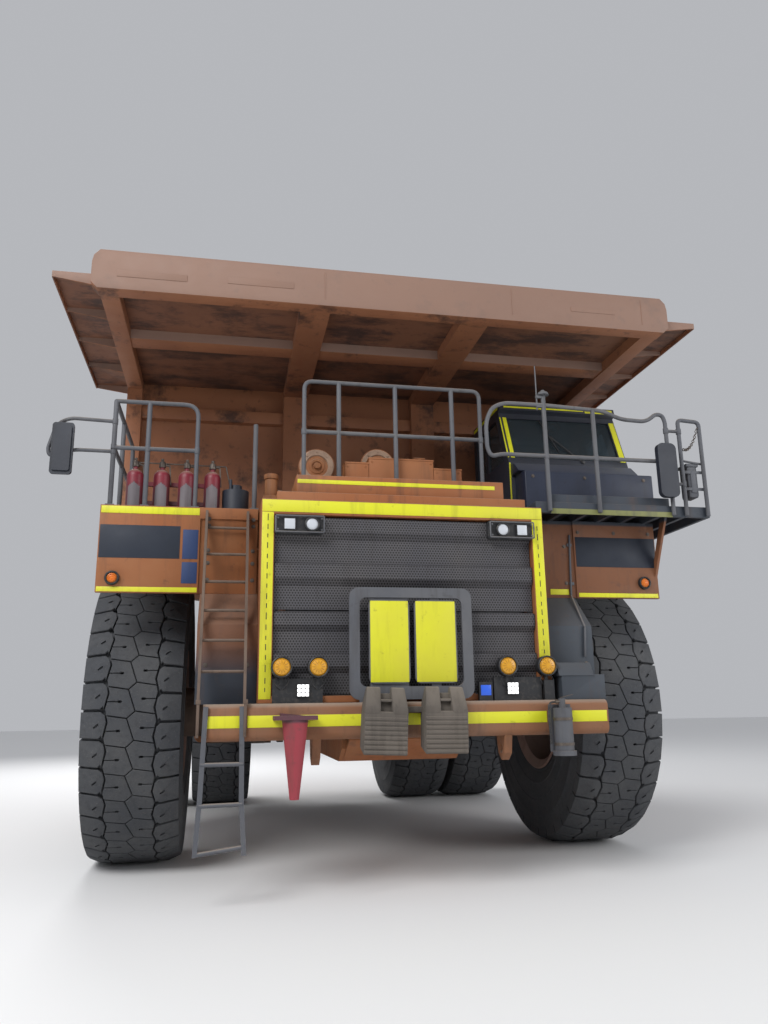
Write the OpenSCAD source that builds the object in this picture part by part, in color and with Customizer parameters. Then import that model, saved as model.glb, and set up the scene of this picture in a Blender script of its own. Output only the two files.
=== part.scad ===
/* [Wheels] */
// Distance between the front and rear axles
wheelbase = 5180; // [5000:20:5400]
// Distance between the centres of the front tyres
front_track = 4880; // [4800:20:4960]
// Distance between the centres of the two twin tyre pairs
rear_track = 4230; // [4200:10:4300]
// Distance between the two tyres of a pair
twin_pitch = 990; // [970:10:1010]
// Outer radius of a tyre
tyre_r = 1500; // [1460:10:1520]
// Width of a tyre over its side walls
tyre_w = 920; // [880:10:940]
// Radius of the rim's seat
rim_r = 648; // [600:4:680]
// Number of shoulder lugs round a tyre
lug_count = 36; // [24:2:44]
// Depth of the grooves between the lugs
groove_d = 60; // [40:5:80]
/* [Frame] */
// Distance from the truck's middle forward to the front axle
front_axle_back = 2785; // [2750:5:2820]
// Outer face of a frame rail from the middle
rail_out = 780; // [740:10:790]
// Width of a frame rail
rail_w = 280; // [240:10:300]
// Top of the frame rails
rail_top = 2150; // [2100:10:2200]
// Height of the frame rails
rail_h = 620; // [560:10:680]
// Rear end of the frame behind the rear axle
frame_tail = 930; // [920:10:1000]
/* [Bumper] */
// Half of the bumper's width
bumper_half = 1776; // [1700:4:1820]
// Bumper's front face, forward of the front axle
bumper_front = 2466; // [2440:2:2500]
// Top of the bumper
bumper_top = 1564; // [1540:4:1600]
// Height of the bumper
bumper_h = 300; // [260:10:340]
// Depth of the bumper
bumper_d = 300; // [240:10:320]
/* [Radiator] */
// Half of the yellow surround's width
guard_half = 1332; // [1280:4:1350]
// Surround's front face, forward of the front axle
guard_front = 2298; // [2280:2:2320]
// Top of the surround
guard_top = 3364; // [3330:2:3390]
// Width of the surround's uprights
guard_bar = 118; // [100:2:140]
// Height of the surround's top bar
guard_bar_top = 140; // [120:2:160]
// Number of raised ridges across the grille
grille_ridges = 4; // [2:2:6]
// How far a grille ridge stands forward
ridge_d = 45; // [20:5:60]
/* [Decks] */
// Front face of the two fender panels, forward of the front axle
fender_front = 1772; // [1760:2:1790]
// Inner edge of a fender panel from the middle
fender_in = 1880; // [1860:4:1900]
// Outer edge of a fender panel from the middle
fender_out = 2790; // [2740:5:2820]
// Bottom of the fender panels
fender_low = 2570; // [2540:5:2600]
// Top of both decks
deck_top = 3470; // [3450:5:3480]
// Thickness of a deck
deck_t = 110; // [80:5:120]
// Front edge of the cab's deck, forward of the front axle
cab_deck_front = 2135; // [2100:5:2160]
// Outer edge of the cab's deck from the middle
cab_deck_out = 3230; // [3180:5:3260]
// How far the right deck lies below the cab's deck
right_drop = 80; // [60:5:90]
// Rear edge of both decks, behind the front axle
deck_back = 75; // [70:5:90]
/* [Cab] */
// Inner side of the cab from the middle
cab_in = 1450; // [1420:5:1480]
// Outer side of the cab from the middle
cab_out = 2900; // [2860:5:2940]
// Foot of the windscreen, forward of the front axle
screen_foot = 1165; // [1140:5:1190]
// Top of the windscreen, forward of the front axle
screen_head = 895; // [850:5:930]
// Back of the cab, behind the front axle
cab_back = 60; // [20:5:65]
// Height of the windscreen's foot
sill_z = 4180; // [4150:5:4220]
// Top of the cab's roof
roof_z = 4970; // [4930:5:5020]
// Thickness of the cab's walls
cab_wall = 60; // [50:2:70]
// Thickness of the cab's roof
cab_roof_t = 110; // [90:5:130]
/* [Bed] */
// Inner half width of the bed
bed_half = 2725; // [2650:5:2740]
// Thickness of the bed's plates
plate_t = 50; // [40:2:60]
// How far the side ribs stand out of the side plates
rib_d = 150; // [120:5:170]
// Top of the bed's sides
bed_top = 4970; // [4920:5:5020]
// Height of the floor's middle line at the front wall
floor_z = 2840; // [2820:5:2880]
// Slope of the main floor
floor_slope = 6; // [5:0.25:6.5]
// Slope of the tail chute
tail_slope = 14; // [12:0.5:16]
// Slope of each half of the floor down to the middle line
vee_slope = 7; // [5:0.5:8]
// Inner face of the front wall, behind the front axle
wall_back = 485; // [470:5:520]
// Start of the tail chute, behind the rear axle
chute_start = 450; // [400:10:500]
// End of the tail, behind the rear axle
tail_end = 3040; // [3000:10:3100]
// Front face of the canopy's lip, forward of the front axle
lip_front = 2180; // [2150:5:2200]
// Top of the canopy's lip
lip_top = 5780; // [5740:5:5800]
// Height of the canopy's lip
lip_h = 400; // [360:5:420]
// Half of the lip's width
lip_half = 2960; // [2920:4:2980]
// Half of the width over the side wings
wing_half = 3322; // [3290:4:3340]
/* [Hoist] */
// Height of the bed's pivot
pivot_z = 2300; // [2290:2:2320]
// Bed's pivot behind the rear axle
pivot_back = 750; // [730:5:770]
// Distance from the bed's pivot to both pins of a hoist
hoist_arm = 2900; // [2880:5:2920]
// Angle of the lower hoist pin below the pivot's level
hoist_low = 24; // [23:0.5:25]
// Angle of the upper hoist pin above the pivot's level
hoist_high = 12; // [11:0.5:13]
// Centre plane of a hoist from the middle
hoist_x = 945; // [940:5:960]
/* [Steering] */
// Distance of a steering strut from the middle
strut_x = 1620; // [1600:5:1640]
// Outer radius of a steering strut
strut_r = 190; // [170:5:210]
/* [Fits] */
// Clearance round a pin or shaft
run = 0.1; // [0.05:0.05:0.1]
// Clearance between faces that lie close on two moving pieces
side_gap = 6; // [5:1:10]
// Gap between a piece and its seat on the same body
seat = 0.3; // [0.2:0.1:0.5]
/* [Hidden] */
$fn = 64;
// Colours as the photograph shows them
c_body = [0.58, 0.34, 0.22];
c_dust = [0.6, 0.45, 0.38];
c_yellow = [0.88, 0.88, 0.1];
c_grey = [0.42, 0.41, 0.4];
c_dark = [0.14, 0.14, 0.16];
c_blue = [0.12, 0.14, 0.22];
c_rubber = [0.2, 0.2, 0.2];
c_chrome = [0.8, 0.8, 0.8];
c_glass = [0.3, 0.4, 0.45, 0.4];
c_red = [0.62, 0.16, 0.18];
c_amber = [0.95, 0.6, 0.1];
// Axles along the truck
fy = -front_axle_back;
ry = fy + wheelbase;
axle_z = tyre_r;
// Body pivot, in Y and Z
pivot_y = ry + pivot_back;
// Front faces along the truck
bumper_y = fy - bumper_front;
guard_y = fy - guard_front;
fender_y = fy - fender_front;
cab_deck_y = fy - cab_deck_front;
deck_back_y = fy + deck_back;
lip_y = fy - lip_front;
rail_low = rail_top - rail_h;
rail_in = rail_out - rail_w;
bumper_low = bumper_top - bumper_h;
tread_half = tyre_w / 2 - 40;
front_x = front_track / 2;
twin_in = (rear_track - twin_pitch) / 2;
twin_out = (rear_track + twin_pitch) / 2;

// A box from its low corner to its high corner
module block(low, high) {
    translate(low) cube(high - low);
}
// A round bar along X from x0 to x1 at a place in Y and Z
module bar_x(x0, x1, y, z, r) {
    translate([min(x0, x1), y, z]) rotate([0, 90, 0]) cylinder(r = r, h = abs(x1 - x0));
}
// A round bar along Y
module bar_y(y0, y1, x, z, r) {
    translate([x, max(y0, y1), z]) rotate([90, 0, 0]) cylinder(r = r, h = abs(y1 - y0));
}
// A round bar between two points
module rod(a, b, r) {
    d = b - a;
    len = norm(d);
    turn = atan2(d[1], d[0]);
    tilt = acos(d[2] / len);
    translate(a) rotate([0, tilt, turn]) cylinder(r = r, h = len);
}
// A bent pipe through a list of points, with an elbow at each bend
elbow = 5;
module pipe(pts, r) {
    for (i = [0:len(pts) - 2]) rod(pts[i], pts[i + 1], r);
    for (i = [1:len(pts) - 2]) translate(pts[i]) sphere(r = r + elbow);
}
// A side profile given as [y, z] points, extruded across from x0 to x1
module across(x0, x1, pts) {
    translate([x0, 0, 0]) rotate([90, 0, 90]) linear_extrude(height = x1 - x0) polygon(pts);
}
// A front profile given as [x, z] points, extruded back from y0 to y1
module along(y0, y1, pts) {
    translate([0, y1, 0]) rotate([90, 0, 0]) linear_extrude(height = y1 - y0) polygon(pts);
}
// The same piece on both sides of the truck
module both_sides() {
    children();
    mirror([1, 0, 0]) children();
}
// Points of a rectangle with its corners rounded, from low to high
function round_rect(lo, hi, r, n = 5) = [
    for (q = [[hi[0] - r, hi[1] - r, 0], [lo[0] + r, hi[1] - r, 90],
              [lo[0] + r, lo[1] + r, 180], [hi[0] - r, lo[1] + r, 270]])
        for (i = [0:n]) [q[0] + r * cos(q[2] + 90 * i / n), q[1] + r * sin(q[2] + 90 * i / n)]];

// Frame: two box rails, cross tubes, the front collar, strut towers, bed ears and hoist pins
rail_front_y = bumper_y + bumper_d;
frame_end_y = ry + frame_tail;
tower_w = 560;
tower_z = [1960, 2420];
ear_t = 60;
ear_r = 150;
hoist_pin_r = 50;
bed_pin_r = 70;
hoist_base = [pivot_y - hoist_arm * cos(hoist_low), pivot_z - hoist_arm * sin(hoist_low)];
hoist_top = [pivot_y - hoist_arm * cos(hoist_high), pivot_z + hoist_arm * sin(hoist_high)];
hoist_len = norm(hoist_top - hoist_base);
barrel_r = 115;
barrel_eye_w = 90;
// Cross members that carry the engine and the rear axle's arm: y, z, radius
engine_member = [fy - 900, 1560, 150];
rear_member = [ry - 1500, 1780, 170];
tube_r_axle = 260;
rail_arch_z = axle_z + tube_r_axle + 50;
function rail_under(y) = bumper_low + 30
    + (rail_low - 90 - bumper_low) * (y - rail_front_y) / (fy - 1100 - rail_front_y);
module rail_profile() {
    // A rail drops at the front to reach the bumper, and rises to the bed's pivot at the rear
    polygon([[rail_front_y, bumper_low + 30], [rail_front_y, bumper_top - 10],
        [guard_y + guard_depth + 60, bumper_top - 10], [fy - 1100, rail_top - 150],
        [fy - 500, rail_top], [frame_end_y, rail_top], [frame_end_y, rail_arch_z + 40],
        [ry + 620, rail_arch_z], [ry - 450, rail_arch_z], [ry - 900, rail_low],
        [fy - 500, rail_low], [fy - 1100, rail_low - 60]]);
}
module frame_ear(x0, x1) {
    // A plate on the frame that holds one end of the bed's pin
    across(x0, x1, [[pivot_y - 260, rail_top - 200], [pivot_y + 140, rail_top - 200],
        [pivot_y + 120, pivot_z + 30], [pivot_y + 40, pivot_z + ear_r],
        [pivot_y - 60, pivot_z + ear_r], [pivot_y - 140, pivot_z + 40]]);
}
module frame() {
    color(c_body) union() {
        both_sides() {
            translate([rail_in, 0, 0]) rotate([90, 0, 90])
                linear_extrude(height = rail_w) rail_profile();
            // Ears and pin of the bed's pivot
            frame_ear(rail_in - ear_t + 20, rail_in + 20);
            frame_ear(rail_out - 20, rail_out - 20 + ear_t);
            bar_x(rail_in - ear_t, rail_out + ear_t + 20, pivot_y, pivot_z, bed_pin_r);
            // Bracket and pin under the hoist
            across(rail_out - 60, rail_out + 30, [[hoist_base[0] - 260, rail_low + 60],
                [hoist_base[0] + 260, rail_low + 60], [hoist_base[0] + 90, hoist_base[1] - 90],
                [hoist_base[0] - 90, hoist_base[1] - 90]]);
            bar_x(rail_out - 40, hoist_x + barrel_eye_w / 2 + 40, hoist_base[0], hoist_base[1],
                hoist_pin_r);
            bar_x(hoist_x + barrel_eye_w / 2 + side_gap, hoist_x + barrel_eye_w / 2 + 40,
                hoist_base[0], hoist_base[1], hoist_pin_r + 25);
            // Tower that carries the steering strut
            difference() {
                block([rail_in + 40, fy - tower_w / 2, tower_z[0]],
                    [strut_x - strut_r + 40, fy + tower_w / 2, tower_z[1]]);
                translate([strut_x, fy, tower_z[0] - 10])
                    cylinder(r = strut_r + seat, h = tower_z[1] - tower_z[0] + 20);
            }
            across(rail_in + 40, rail_out, [[fy - 420, rail_top - 60], [fy + 420, rail_top - 60],
                [fy + 300, tower_z[1] + 120], [fy - 300, tower_z[1] + 120]]);
        }
        // Cross members between the rails
        for (c = [[fy - 1700, 1500, 130], engine_member, [fy + 950, 1800, 190],
                  rear_member, [frame_end_y - 180, rail_arch_z + 140, 130]])
            bar_x(-rail_in - 8, rail_in + 8, c[0], c[1], c[2]);
        // Collar over the engine between the two towers
        difference() {
            block([-rail_in - 60, fy - 180, rail_top - 200],
                [rail_in + 60, fy + 180, tower_z[1] + 120]);
            block([-rail_in + 60, fy - 200, rail_top - 250],
                [rail_in - 60, fy + 200, tower_z[1] - 60]);
        }
    }
}

// Bumper: one box beam with round front edges, cut plates below it and hooks
bumper_round = 60;
module bumper_section() {
    // Section in Y and Z with round front edges
    polygon([for (p = round_rect([bumper_y, bumper_low], [bumper_y + bumper_d, bumper_top],
        bumper_round)) p]);
}
hook_x = 840;
module front_bumper() {
    color(c_body) difference() {
        union() {
            translate([-bumper_half, 0, 0]) rotate([90, 0, 90])
                linear_extrude(height = 2 * bumper_half) bumper_section();
            both_sides() {
                // Tow eye below the beam
                across(hook_x - 35, hook_x + 35, [[bumper_y + 30, bumper_low + 20],
                    [bumper_y + 270, bumper_low + 20], [bumper_y + 230, bumper_low - 150],
                    [bumper_y + 150, bumper_low - 210], [bumper_y + 70, bumper_low - 150]]);
            }
        }
        both_sides() bar_x(hook_x - 60, hook_x + 60, bumper_y + 150, bumper_low - 110, 40);
        // The beam is open at the back
        block([-bumper_half + 40, bumper_y + 40, bumper_low + 40],
            [bumper_half - 40, bumper_y + bumper_d - 60, bumper_top - 40]);
        block([rail_out + 60, bumper_y + bumper_d - 80, bumper_low + 70],
            [bumper_half - 80, bumper_y + bumper_d + 10, bumper_top - 70]);
        block([-bumper_half + 80, bumper_y + bumper_d - 80, bumper_low + 70],
            [-rail_out - 60, bumper_y + bumper_d + 10, bumper_top - 70]);
    }
}

// Guard under the engine: a sloped plate with raised sides
guard_plate_t = 40;
module belly_guard() {
    y0 = bumper_y + bumper_d + 20;
    y1 = fy + 500;
    low = bumper_low - 180;
    color(c_body) union() {
        across(-rail_in - 20, rail_in + 20, [[y0, bumper_low + 20], [y0 + 420, low],
            [y1 - 300, low], [y1, rail_low - seat], [y1, rail_low - seat - guard_plate_t * 1.4],
            [y1 - 290, low - guard_plate_t], [y0 + 410, low - guard_plate_t],
            [y0, bumper_low + 20 - guard_plate_t]]);
        both_sides() across(rail_in + 10, rail_in + 60, [[y0 + 200, bumper_low - 100],
            [y0 + 420, low - guard_plate_t], [y1 - 290, low - guard_plate_t],
            [y1 - 60, rail_low - 60 - seat], [y1 - 60, rail_low - seat], [fy - 500, rail_low - seat],
            [fy - 1100, rail_low - 60 - seat], [y0 + 200, rail_under(y0 + 200) - seat]]);
    }
}

// Radiator guard: side cheeks, the yellow surround and the stepped ledge over it
guard_depth = 480;
cheek_t = 50;
ledge_h = 90;
ledge_in = 140;
module radiator_guard() {
    low = bumper_top + seat;
    inner = guard_half - guard_bar;
    color(c_yellow) union() {
        difference() {
            block([-guard_half, guard_y, low], [guard_half, guard_y + guard_depth, guard_top]);
            block([-inner, guard_y - 10, low + 60],
                [inner, guard_y + 120, guard_top - guard_bar_top]);
            block([-guard_half + cheek_t, guard_y + 100, low + 60],
                [guard_half - cheek_t, guard_y + guard_depth + 10, guard_top - 60]);
        }
        // Ledge on top of the surround
        block([-guard_half + ledge_in, guard_y + 60, guard_top - 10],
            [guard_half - ledge_in, guard_y + guard_depth, guard_top + ledge_h]);
    }
}

// Grille: perforated sheet folded into ridges, with a split at mid height
grille_t = 12;
split_h = 14;
grille_low = bumper_top + 70;
grille_high = guard_top - guard_bar_top - 6;
ridge_share = 0.42;
grille_y = guard_y + 70;
function fold_points(y, low, high, ridges) = [
    for (i = [0:ridges - 1]) let (pitch = (high - low) / ridges, z = low + i * pitch)
        for (p = [[0, 0], [0, (1 - ridge_share) * 0.86], [-1, (1 - ridge_share) * 1.14],
                  [-1, 0.96]]) [y + p[0] * ridge_d, z + p[1] * pitch]];
module folded_sheet(low, high, ridges) {
    front = fold_points(grille_y, low, high, ridges);
    last = [[grille_y, high]];
    outline = concat(front, last);
    back = [for (i = [len(outline) - 1:-1:0]) outline[i] + [grille_t, 0]];
    half = guard_half - guard_bar - 8;
    across(-half, half, concat(outline, back));
}
module grille() {
    mid = (grille_low + grille_high) / 2 - 60;
    half = guard_half - guard_bar - 8;
    color(c_dark) union() {
        folded_sheet(grille_low, mid - split_h / 2, grille_ridges / 2);
        folded_sheet(mid + split_h / 2, grille_high, grille_ridges / 2);
        // Upright stiffeners behind the sheet hold its two halves together
        for (x = [-half, -half * 0.36, half * 0.36 - 30, half - 30])
            block([x, grille_y + grille_t - 2, grille_low], [x + 30, guard_y + 100, grille_high]);
        both_sides() block([half - 40, guard_y + 84, grille_low],
            [guard_half - guard_bar - seat, guard_y + 100, grille_high]);
    }
}

// Engine: one plain block between the rails
engine_half = 430;
module engine_block() {
    color(c_grey) block([-engine_half, guard_y + guard_depth + 120, engine_member[1] + engine_member[2] + seat],
        [engine_half, wall_y - 50, tower_z[1] - 100]);
}

// Hood over the engine, with a raised step at the front
hood_half = 1010;
hood_step = [190, 60];
hood_end_y = fy - 700;
hood_t = 40;
module hood() {
    low = guard_top + ledge_h + seat;
    color(c_body) difference() {
        union() {
            block([-hood_half, guard_y + 150, low], [hood_half, hood_end_y, low + hood_step[0]]);
            // Side walls run down to the frame
            both_sides() block([hood_half - hood_t, guard_y + guard_depth + seat, rail_top + 40],
                [hood_half, hood_end_y, low + 20]);
            block([-hood_half, hood_end_y - hood_t, rail_top + 400],
                [hood_half, hood_end_y, low + 20]);
        }
        block([-hood_half + hood_t, guard_y + 150 + hood_t, low - 10],
            [hood_half - hood_t, hood_end_y - hood_t, low + hood_step[0] - hood_t]);
    }
}

// Air cleaners and boxes that stand on the hood behind the rail
hood_top = guard_top + ledge_h + seat + hood_step[0];
cleaner_r = 165;
module air_cleaners() {
    y = fy - 1560;
    // Columns: middle x, height of the axis over the hood, front end
    for (c = [[-765, 240, -60], [-95, 350, 180]]) {
        z = hood_top + c[1];
        color(c_dust) union() {
            bar_y(y + c[2], y + c[2] + 560, c[0], z, cleaner_r);
            bar_y(y + c[2] - 20, y + c[2] + 40, c[0], z, cleaner_r + 18);
            bar_y(y + c[2] - 60, y + c[2], c[0], z, 32);
            block([c[0] - 60, y + c[2] + 120, hood_top + seat],
                [c[0] + 60, y + c[2] + 460, z - cleaner_r + 60]);
        }
    }
    // Columns: low x, high x, height, front end, depth
    color(c_body) for (b = [[-600, -410, 190, 40, 300], [-385, 330, 165, 0, 160], [350, 640, 120, 0, 300]])
        block([b[0], y + b[3], hood_top + seat], [b[1], y + b[3] + b[4], hood_top + b[2]]);
}

// Deck over a front wheel: plate, ribs, fender panel and its legs
right_top = deck_top - right_drop;
leg_w = 200;
fender_t = 50;
deck_in = guard_half + 10;
lower_panel_y = fy - 2080;
module deck_leg(x, top) {
    // A leg from the strut's tower up to the deck
    block([x, fy - leg_w, tower_z[1] + seat], [x + leg_w * 0.8, fy + leg_w, top - deck_t + 20]);
}
module deck_plate(x0, x1, y0, top, ribs) {
    // A tread plate with a deep edge and ribs below
    edge = 40;
    difference() {
        block([x0, y0, top - deck_t], [x1, deck_back_y, top]);
        for (i = [0:ribs - 1]) let (w = (x1 - x0 - edge) / ribs)
            block([x0 + edge + i * w, y0 + edge, top - deck_t - 10],
                [x0 + i * w + w, deck_back_y - edge, top - 25]);
    }
    // Strip that closes the deck up to the hood
    block([hood_half + seat, fender_y + 20, top - 30], [x0 + 20, deck_back_y, top]);
}
module fender_panel(x0, x1, top) {
    // The upright panel in front of a tyre, with a return at its outer side above the tyre
    union() {
        block([x0, fender_y, fender_low], [x1, fender_y + fender_t, top]);
        block([x1 - 45, fender_y, 2 * tyre_r + 70], [x1, deck_back_y - 200, top]);
    }
}
module inner_panel(top) {
    // The set-back panel between the fender and the radiator guard
    block([deck_in, fender_y + 20, fender_low], [fender_in + 10, fender_y + fender_t, top]);
}
module right_deck() {
    color(c_body) mirror([1, 0, 0]) union() {
        deck_plate(deck_in, fender_out, fender_y, right_top, 4);
        fender_panel(fender_in, fender_out, right_top);
        inner_panel(right_top - 20);
        deck_leg(strut_x - strut_r - leg_w, right_top);
    }
}
module cab_deck() {
    fender_top = deck_top - deck_t;
    color(c_grey) union() {
        deck_plate(deck_in, cab_deck_out, cab_deck_y, deck_top, 7);
        // Kick plate along the front edge
        block([guard_half + 170, cab_deck_y + 40, deck_top - 10],
            [cab_deck_out - 420, cab_deck_y + 52, deck_top + 90]);
        fender_panel(fender_in, fender_out, fender_top + 10);
        inner_panel(fender_top + 10);
        deck_leg(strut_x - strut_r - leg_w, deck_top);
        // Brace from the fender's outer edge up to the deck's overhang
        across(fender_out - 30, fender_out - 5, [[cab_deck_y + 60, deck_top - deck_t + 20],
            [cab_deck_y + 160, deck_top - deck_t + 20], [fender_y + 40, fender_low + 300],
            [fender_y + 10, fender_low + 200]]);
    }
}

// Panels beside the radiator guard, between the bumper and the decks
panel_bend_z = bumper_top + 670;
module lower_panels() {
    color(c_grey) both_sides() {
        across(guard_half + seat, fender_in - 20, [[lower_panel_y, bumper_top + seat],
            [lower_panel_y + 40, bumper_top + seat], [lower_panel_y + 40, panel_bend_z],
            [fender_y + 70, fender_low - 30], [fender_y + 70, fender_low - seat],
            [fender_y + 20, fender_low - seat], [lower_panel_y, panel_bend_z + 20]]);
    }
    // Step on the bumper on the cab's side
    color(c_grey) union() {
        block([guard_half + 45, bumper_y + 60, bumper_top + seat],
            [bumper_half + 20, lower_panel_y - seat, bumper_top + 220]);
        across(guard_half + 25, bumper_half - 80, [[bumper_y + 50, bumper_top + 210],
            [lower_panel_y - seat, bumper_top + 210], [lower_panel_y - seat, bumper_top + 330],
            [bumper_y + 130, bumper_top + 330]]);
    }
}

// Ladder on the right side, leaning back from the bumper to the deck
ladder_x = [-1820, -1440];
ladder_foot = [bumper_y + 65, bumper_top + seat];
ladder_head = [fender_y - 8, right_top - 40];
rail_bar = [24, 60];
rung_count = 6;
module ladder() {
    run_v = ladder_head - ladder_foot;
    color(c_grey) union() {
        for (x = ladder_x)
            across(x - rail_bar[0] / 2, x + rail_bar[0] / 2, [ladder_foot,
                ladder_foot + [rail_bar[1], 0], ladder_head + [-seat, -rail_bar[1] * 2],
                ladder_head + [-seat, 0], ladder_head + [-rail_bar[1], 0]]);
        for (i = [1:rung_count]) let (p = ladder_foot + run_v * i / (rung_count + 0.6))
            bar_x(ladder_x[0], ladder_x[1], p[0] + rail_bar[1] / 2, p[1], 13);
    }
}

// Ladder that hangs from the bumper on two flexible straps
strap_low = 400;
module hanging_ladder() {
    y = bumper_y - 24 - seat;
    color(c_grey) union() {
        // Columns: x at the top, at the middle and at the bottom
        for (s = [[-1752, -1776, -1800], [-1462, -1448, -1418]])
            along(y, y + 24, [[s[0] - 20, bumper_top - 20], [s[0] + 20, bumper_top - 20],
                [s[1] + 20, 800], [s[2] + 20, strap_low], [s[2] - 20, strap_low], [s[1] - 20, 800]]);
        // Columns: height, tilt of a rung
        for (g = [[1090, 0], [780, 6], [440, 42]])
            rod([-1780, y + 12, g[0] - g[1] / 2], [-1440, y + 12, g[0] + g[1] / 2], 17);
    }
}

// Handrails of bent pipe
pipe_r = 21;
loop_r = pipe_r - 3;
post_r = pipe_r + 2;
rail_z = [3960, 4430];
module rail_post(x, y, z0, z1) {
    translate([x, y, z0]) cylinder(r = post_r, h = z1 - z0);
}
rear_rail_y = deck_back_y - 350;
right_rail_x = -fender_out + 75;
module right_handrail() {
    y = fender_y + 40;
    base = right_top + seat;
    bend = 90;
    color(c_grey) union() {
        // Front loop with a round corner
        pipe([[right_rail_x, y, rail_z[1]], [-1941 - bend, y, rail_z[1]],
            [-1941, y, rail_z[1] - bend], [-1941, y, base]], pipe_r);
        for (x = [right_rail_x, -2402])
            rail_post(x, y, base, rail_z[1]);
        rod([right_rail_x, y, rail_z[0]], [-1941, y, rail_z[0]], pipe_r);
        // Side rail
        for (z = rail_z)
            rod([right_rail_x, y, z], [right_rail_x, rear_rail_y, z], pipe_r);
        for (yy = [y + 620, rear_rail_y])
            rail_post(right_rail_x, yy, base, rail_z[1]);
        // Mirror loop that stands out at the front corner
        pipe([[right_rail_x, y, rail_z[1] - 210], [-3120, y - 40, rail_z[1] - 210],
            [-3230, y - 50, rail_z[1] - 280], [-3290, y - 60, rail_z[0] - 60],
            [-3270, y - 60, rail_z[0] - 130], [-3080, y - 40, rail_z[0] - 50],
            [right_rail_x, y, rail_z[0] - 40]], loop_r);
        // Lone post by the hood
        rail_post(-guard_half - 50, y, base, rail_z[1] - 170);
    }
}
centre_x = [-920, 890];
module centre_handrail() {
    y = fy - 1880;
    z0 = hood_top + seat;
    z2 = z0 + 1050;
    z1 = z0 + 520;
    bend = 80;
    color(c_grey) union() {
        pipe([[centre_x[0], y, z0], [centre_x[0], y, z2 - bend], [centre_x[0] + bend, y, z2],
            [centre_x[1] - bend, y, z2], [centre_x[1], y, z2 - bend], [centre_x[1], y, z0]], pipe_r);
        rod([centre_x[0], y, z1], [centre_x[1], y, z1], pipe_r);
        for (x = [-575, 0, 590])
            rail_post(x, y, z0, z2);
    }
}
gate_x = [2960, 3200];
cab_rail_y = cab_deck_y - post_r - seat;
module cab_handrail() {
    y = cab_rail_y;
    foot = deck_top - deck_t + 10;
    color(c_grey) union() {
        // Outline of the long loop, from the hood side round to the gate post
        pipe([[2815, y, 3935], [1010, y, 3935], [900, y, 3905], [862, y, 3990], [858, y, 4260],
            [930, y, 4420], [1060, y, 4475], [1480, y, 4475], [2130, y, 4450], [2310, y, 4370],
            [2600, y, 4360], [2720, y, 4450], [2790, y, 4440], [2815, y, 4370],
            [2815, y, foot]], pipe_r);
        for (p = [[1480, 4590], [2010, 4455]])
            rail_post(p[0], y, foot, p[1]);
        // Gate frame with its latch link
        pipe([[gate_x[0], y, foot], [gate_x[0], y, 4400], [gate_x[1], y, 4385],
            [gate_x[1], y, foot]], pipe_r);
        rod([2815, y, 4270], [gate_x[0], y, 4270], pipe_r - 4);
        rod([2815, y, 3700], [gate_x[0], y, 3700], pipe_r - 4);
        // Beacon stalk on the first post
        translate([1480, y, 4580]) cylinder(r = 60, h = 30);
        translate([1410, y, 4420]) cylinder(r = 9, h = 480);
        rod([1410, y, 4560], [1480, y, 4560], 14);
    }
}

// Mirrors on both sides
module mirrors() {
    yr = fender_y - 20 - loop_r + seat;
    color(c_grey) union() {
        along(yr - 30, yr - seat, round_rect([-3255, 3650], [-3060, 4150], 30));
        along(yr - 45, yr - 30, round_rect([-3235, 3680], [-3080, 4120], 20));
    }
    yl = cab_rail_y - pipe_r - seat;
    color(c_dark) union() {
        along(yl - 60, yl, round_rect([2655, 3540], [2860, 4110], 60));
    }
}

// Cab: a hollow shell with a sloped windscreen, windows and a door opening
foot_y = fy - screen_foot;
head_y = fy - screen_head;
cab_back_y = fy + cab_back;
cab_low = deck_top + seat;
head_z = roof_z - cab_roof_t;
post_w = 85;
mid_post_y = (foot_y + cab_back_y) / 2 + 120;
window_low = sill_z + 60;
window_high = head_z - 70;
hinge_y = cab_back_y - 150;
door_low = cab_low + 70;
door_high = head_z - 45;
door_front = foot_y + 110;
hinge_x = cab_out + 30;
hinge_pin_y = hinge_y + 18;
hinge_z = [door_low + 220, door_high - 260];
hinge_r = 12;
knuckle_h = 70;
function screen_y(z) = foot_y + (head_y - foot_y) * (z - sill_z) / (head_z - sill_z);
module cab_profile(inset) {
    // Side outline of the cab, drawn in by the wall where inset is given
    back = cab_back_y - inset;
    if (inset == 0)
        polygon([[foot_y, cab_low], [foot_y, sill_z], [head_y, head_z], [head_y - 60, head_z + 30],
            [head_y - 40, roof_z], [back, roof_z], [back, cab_low]]);
    else
        polygon([[foot_y + inset, cab_low + inset], [foot_y + inset, sill_z],
            [head_y + inset, head_z], [back, head_z], [back, cab_low + inset]]);
}
module cab_slab(x0, x1, inset) {
    translate([x0, 0, 0]) rotate([90, 0, 90]) linear_extrude(height = x1 - x0)
        cab_profile(inset);
}
function screen_hole(grow) = [[screen_y(window_low) - 60 + grow, window_low + grow],
    [screen_y(window_high) - 60 + grow, window_high - grow],
    [screen_y(window_high) + 120, window_high - grow], [screen_y(window_low) + 120, window_low + grow]];
function front_window(grow) = [[screen_y(window_low) + post_w + 40 + grow, window_low + grow],
    [screen_y(window_high) + post_w + 40 + grow, window_high - grow],
    [mid_post_y - 40 - grow, window_high - grow], [mid_post_y - 40 - grow, window_low + grow]];
function rear_window(grow) = [[mid_post_y + 40 + grow, window_low + grow],
    [mid_post_y + 40 + grow, window_high - grow],
    [cab_back_y - post_w - 20 - grow, window_high - grow],
    [cab_back_y - post_w - 20 - grow, window_low + grow]];
function door_outline(gap) = [[door_front + gap, door_low + gap], [door_front + gap, sill_z],
    [screen_y(door_high) + 110 + gap, door_high - gap], [hinge_y - gap, door_high - gap],
    [hinge_y - gap, door_low + gap]];
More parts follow.
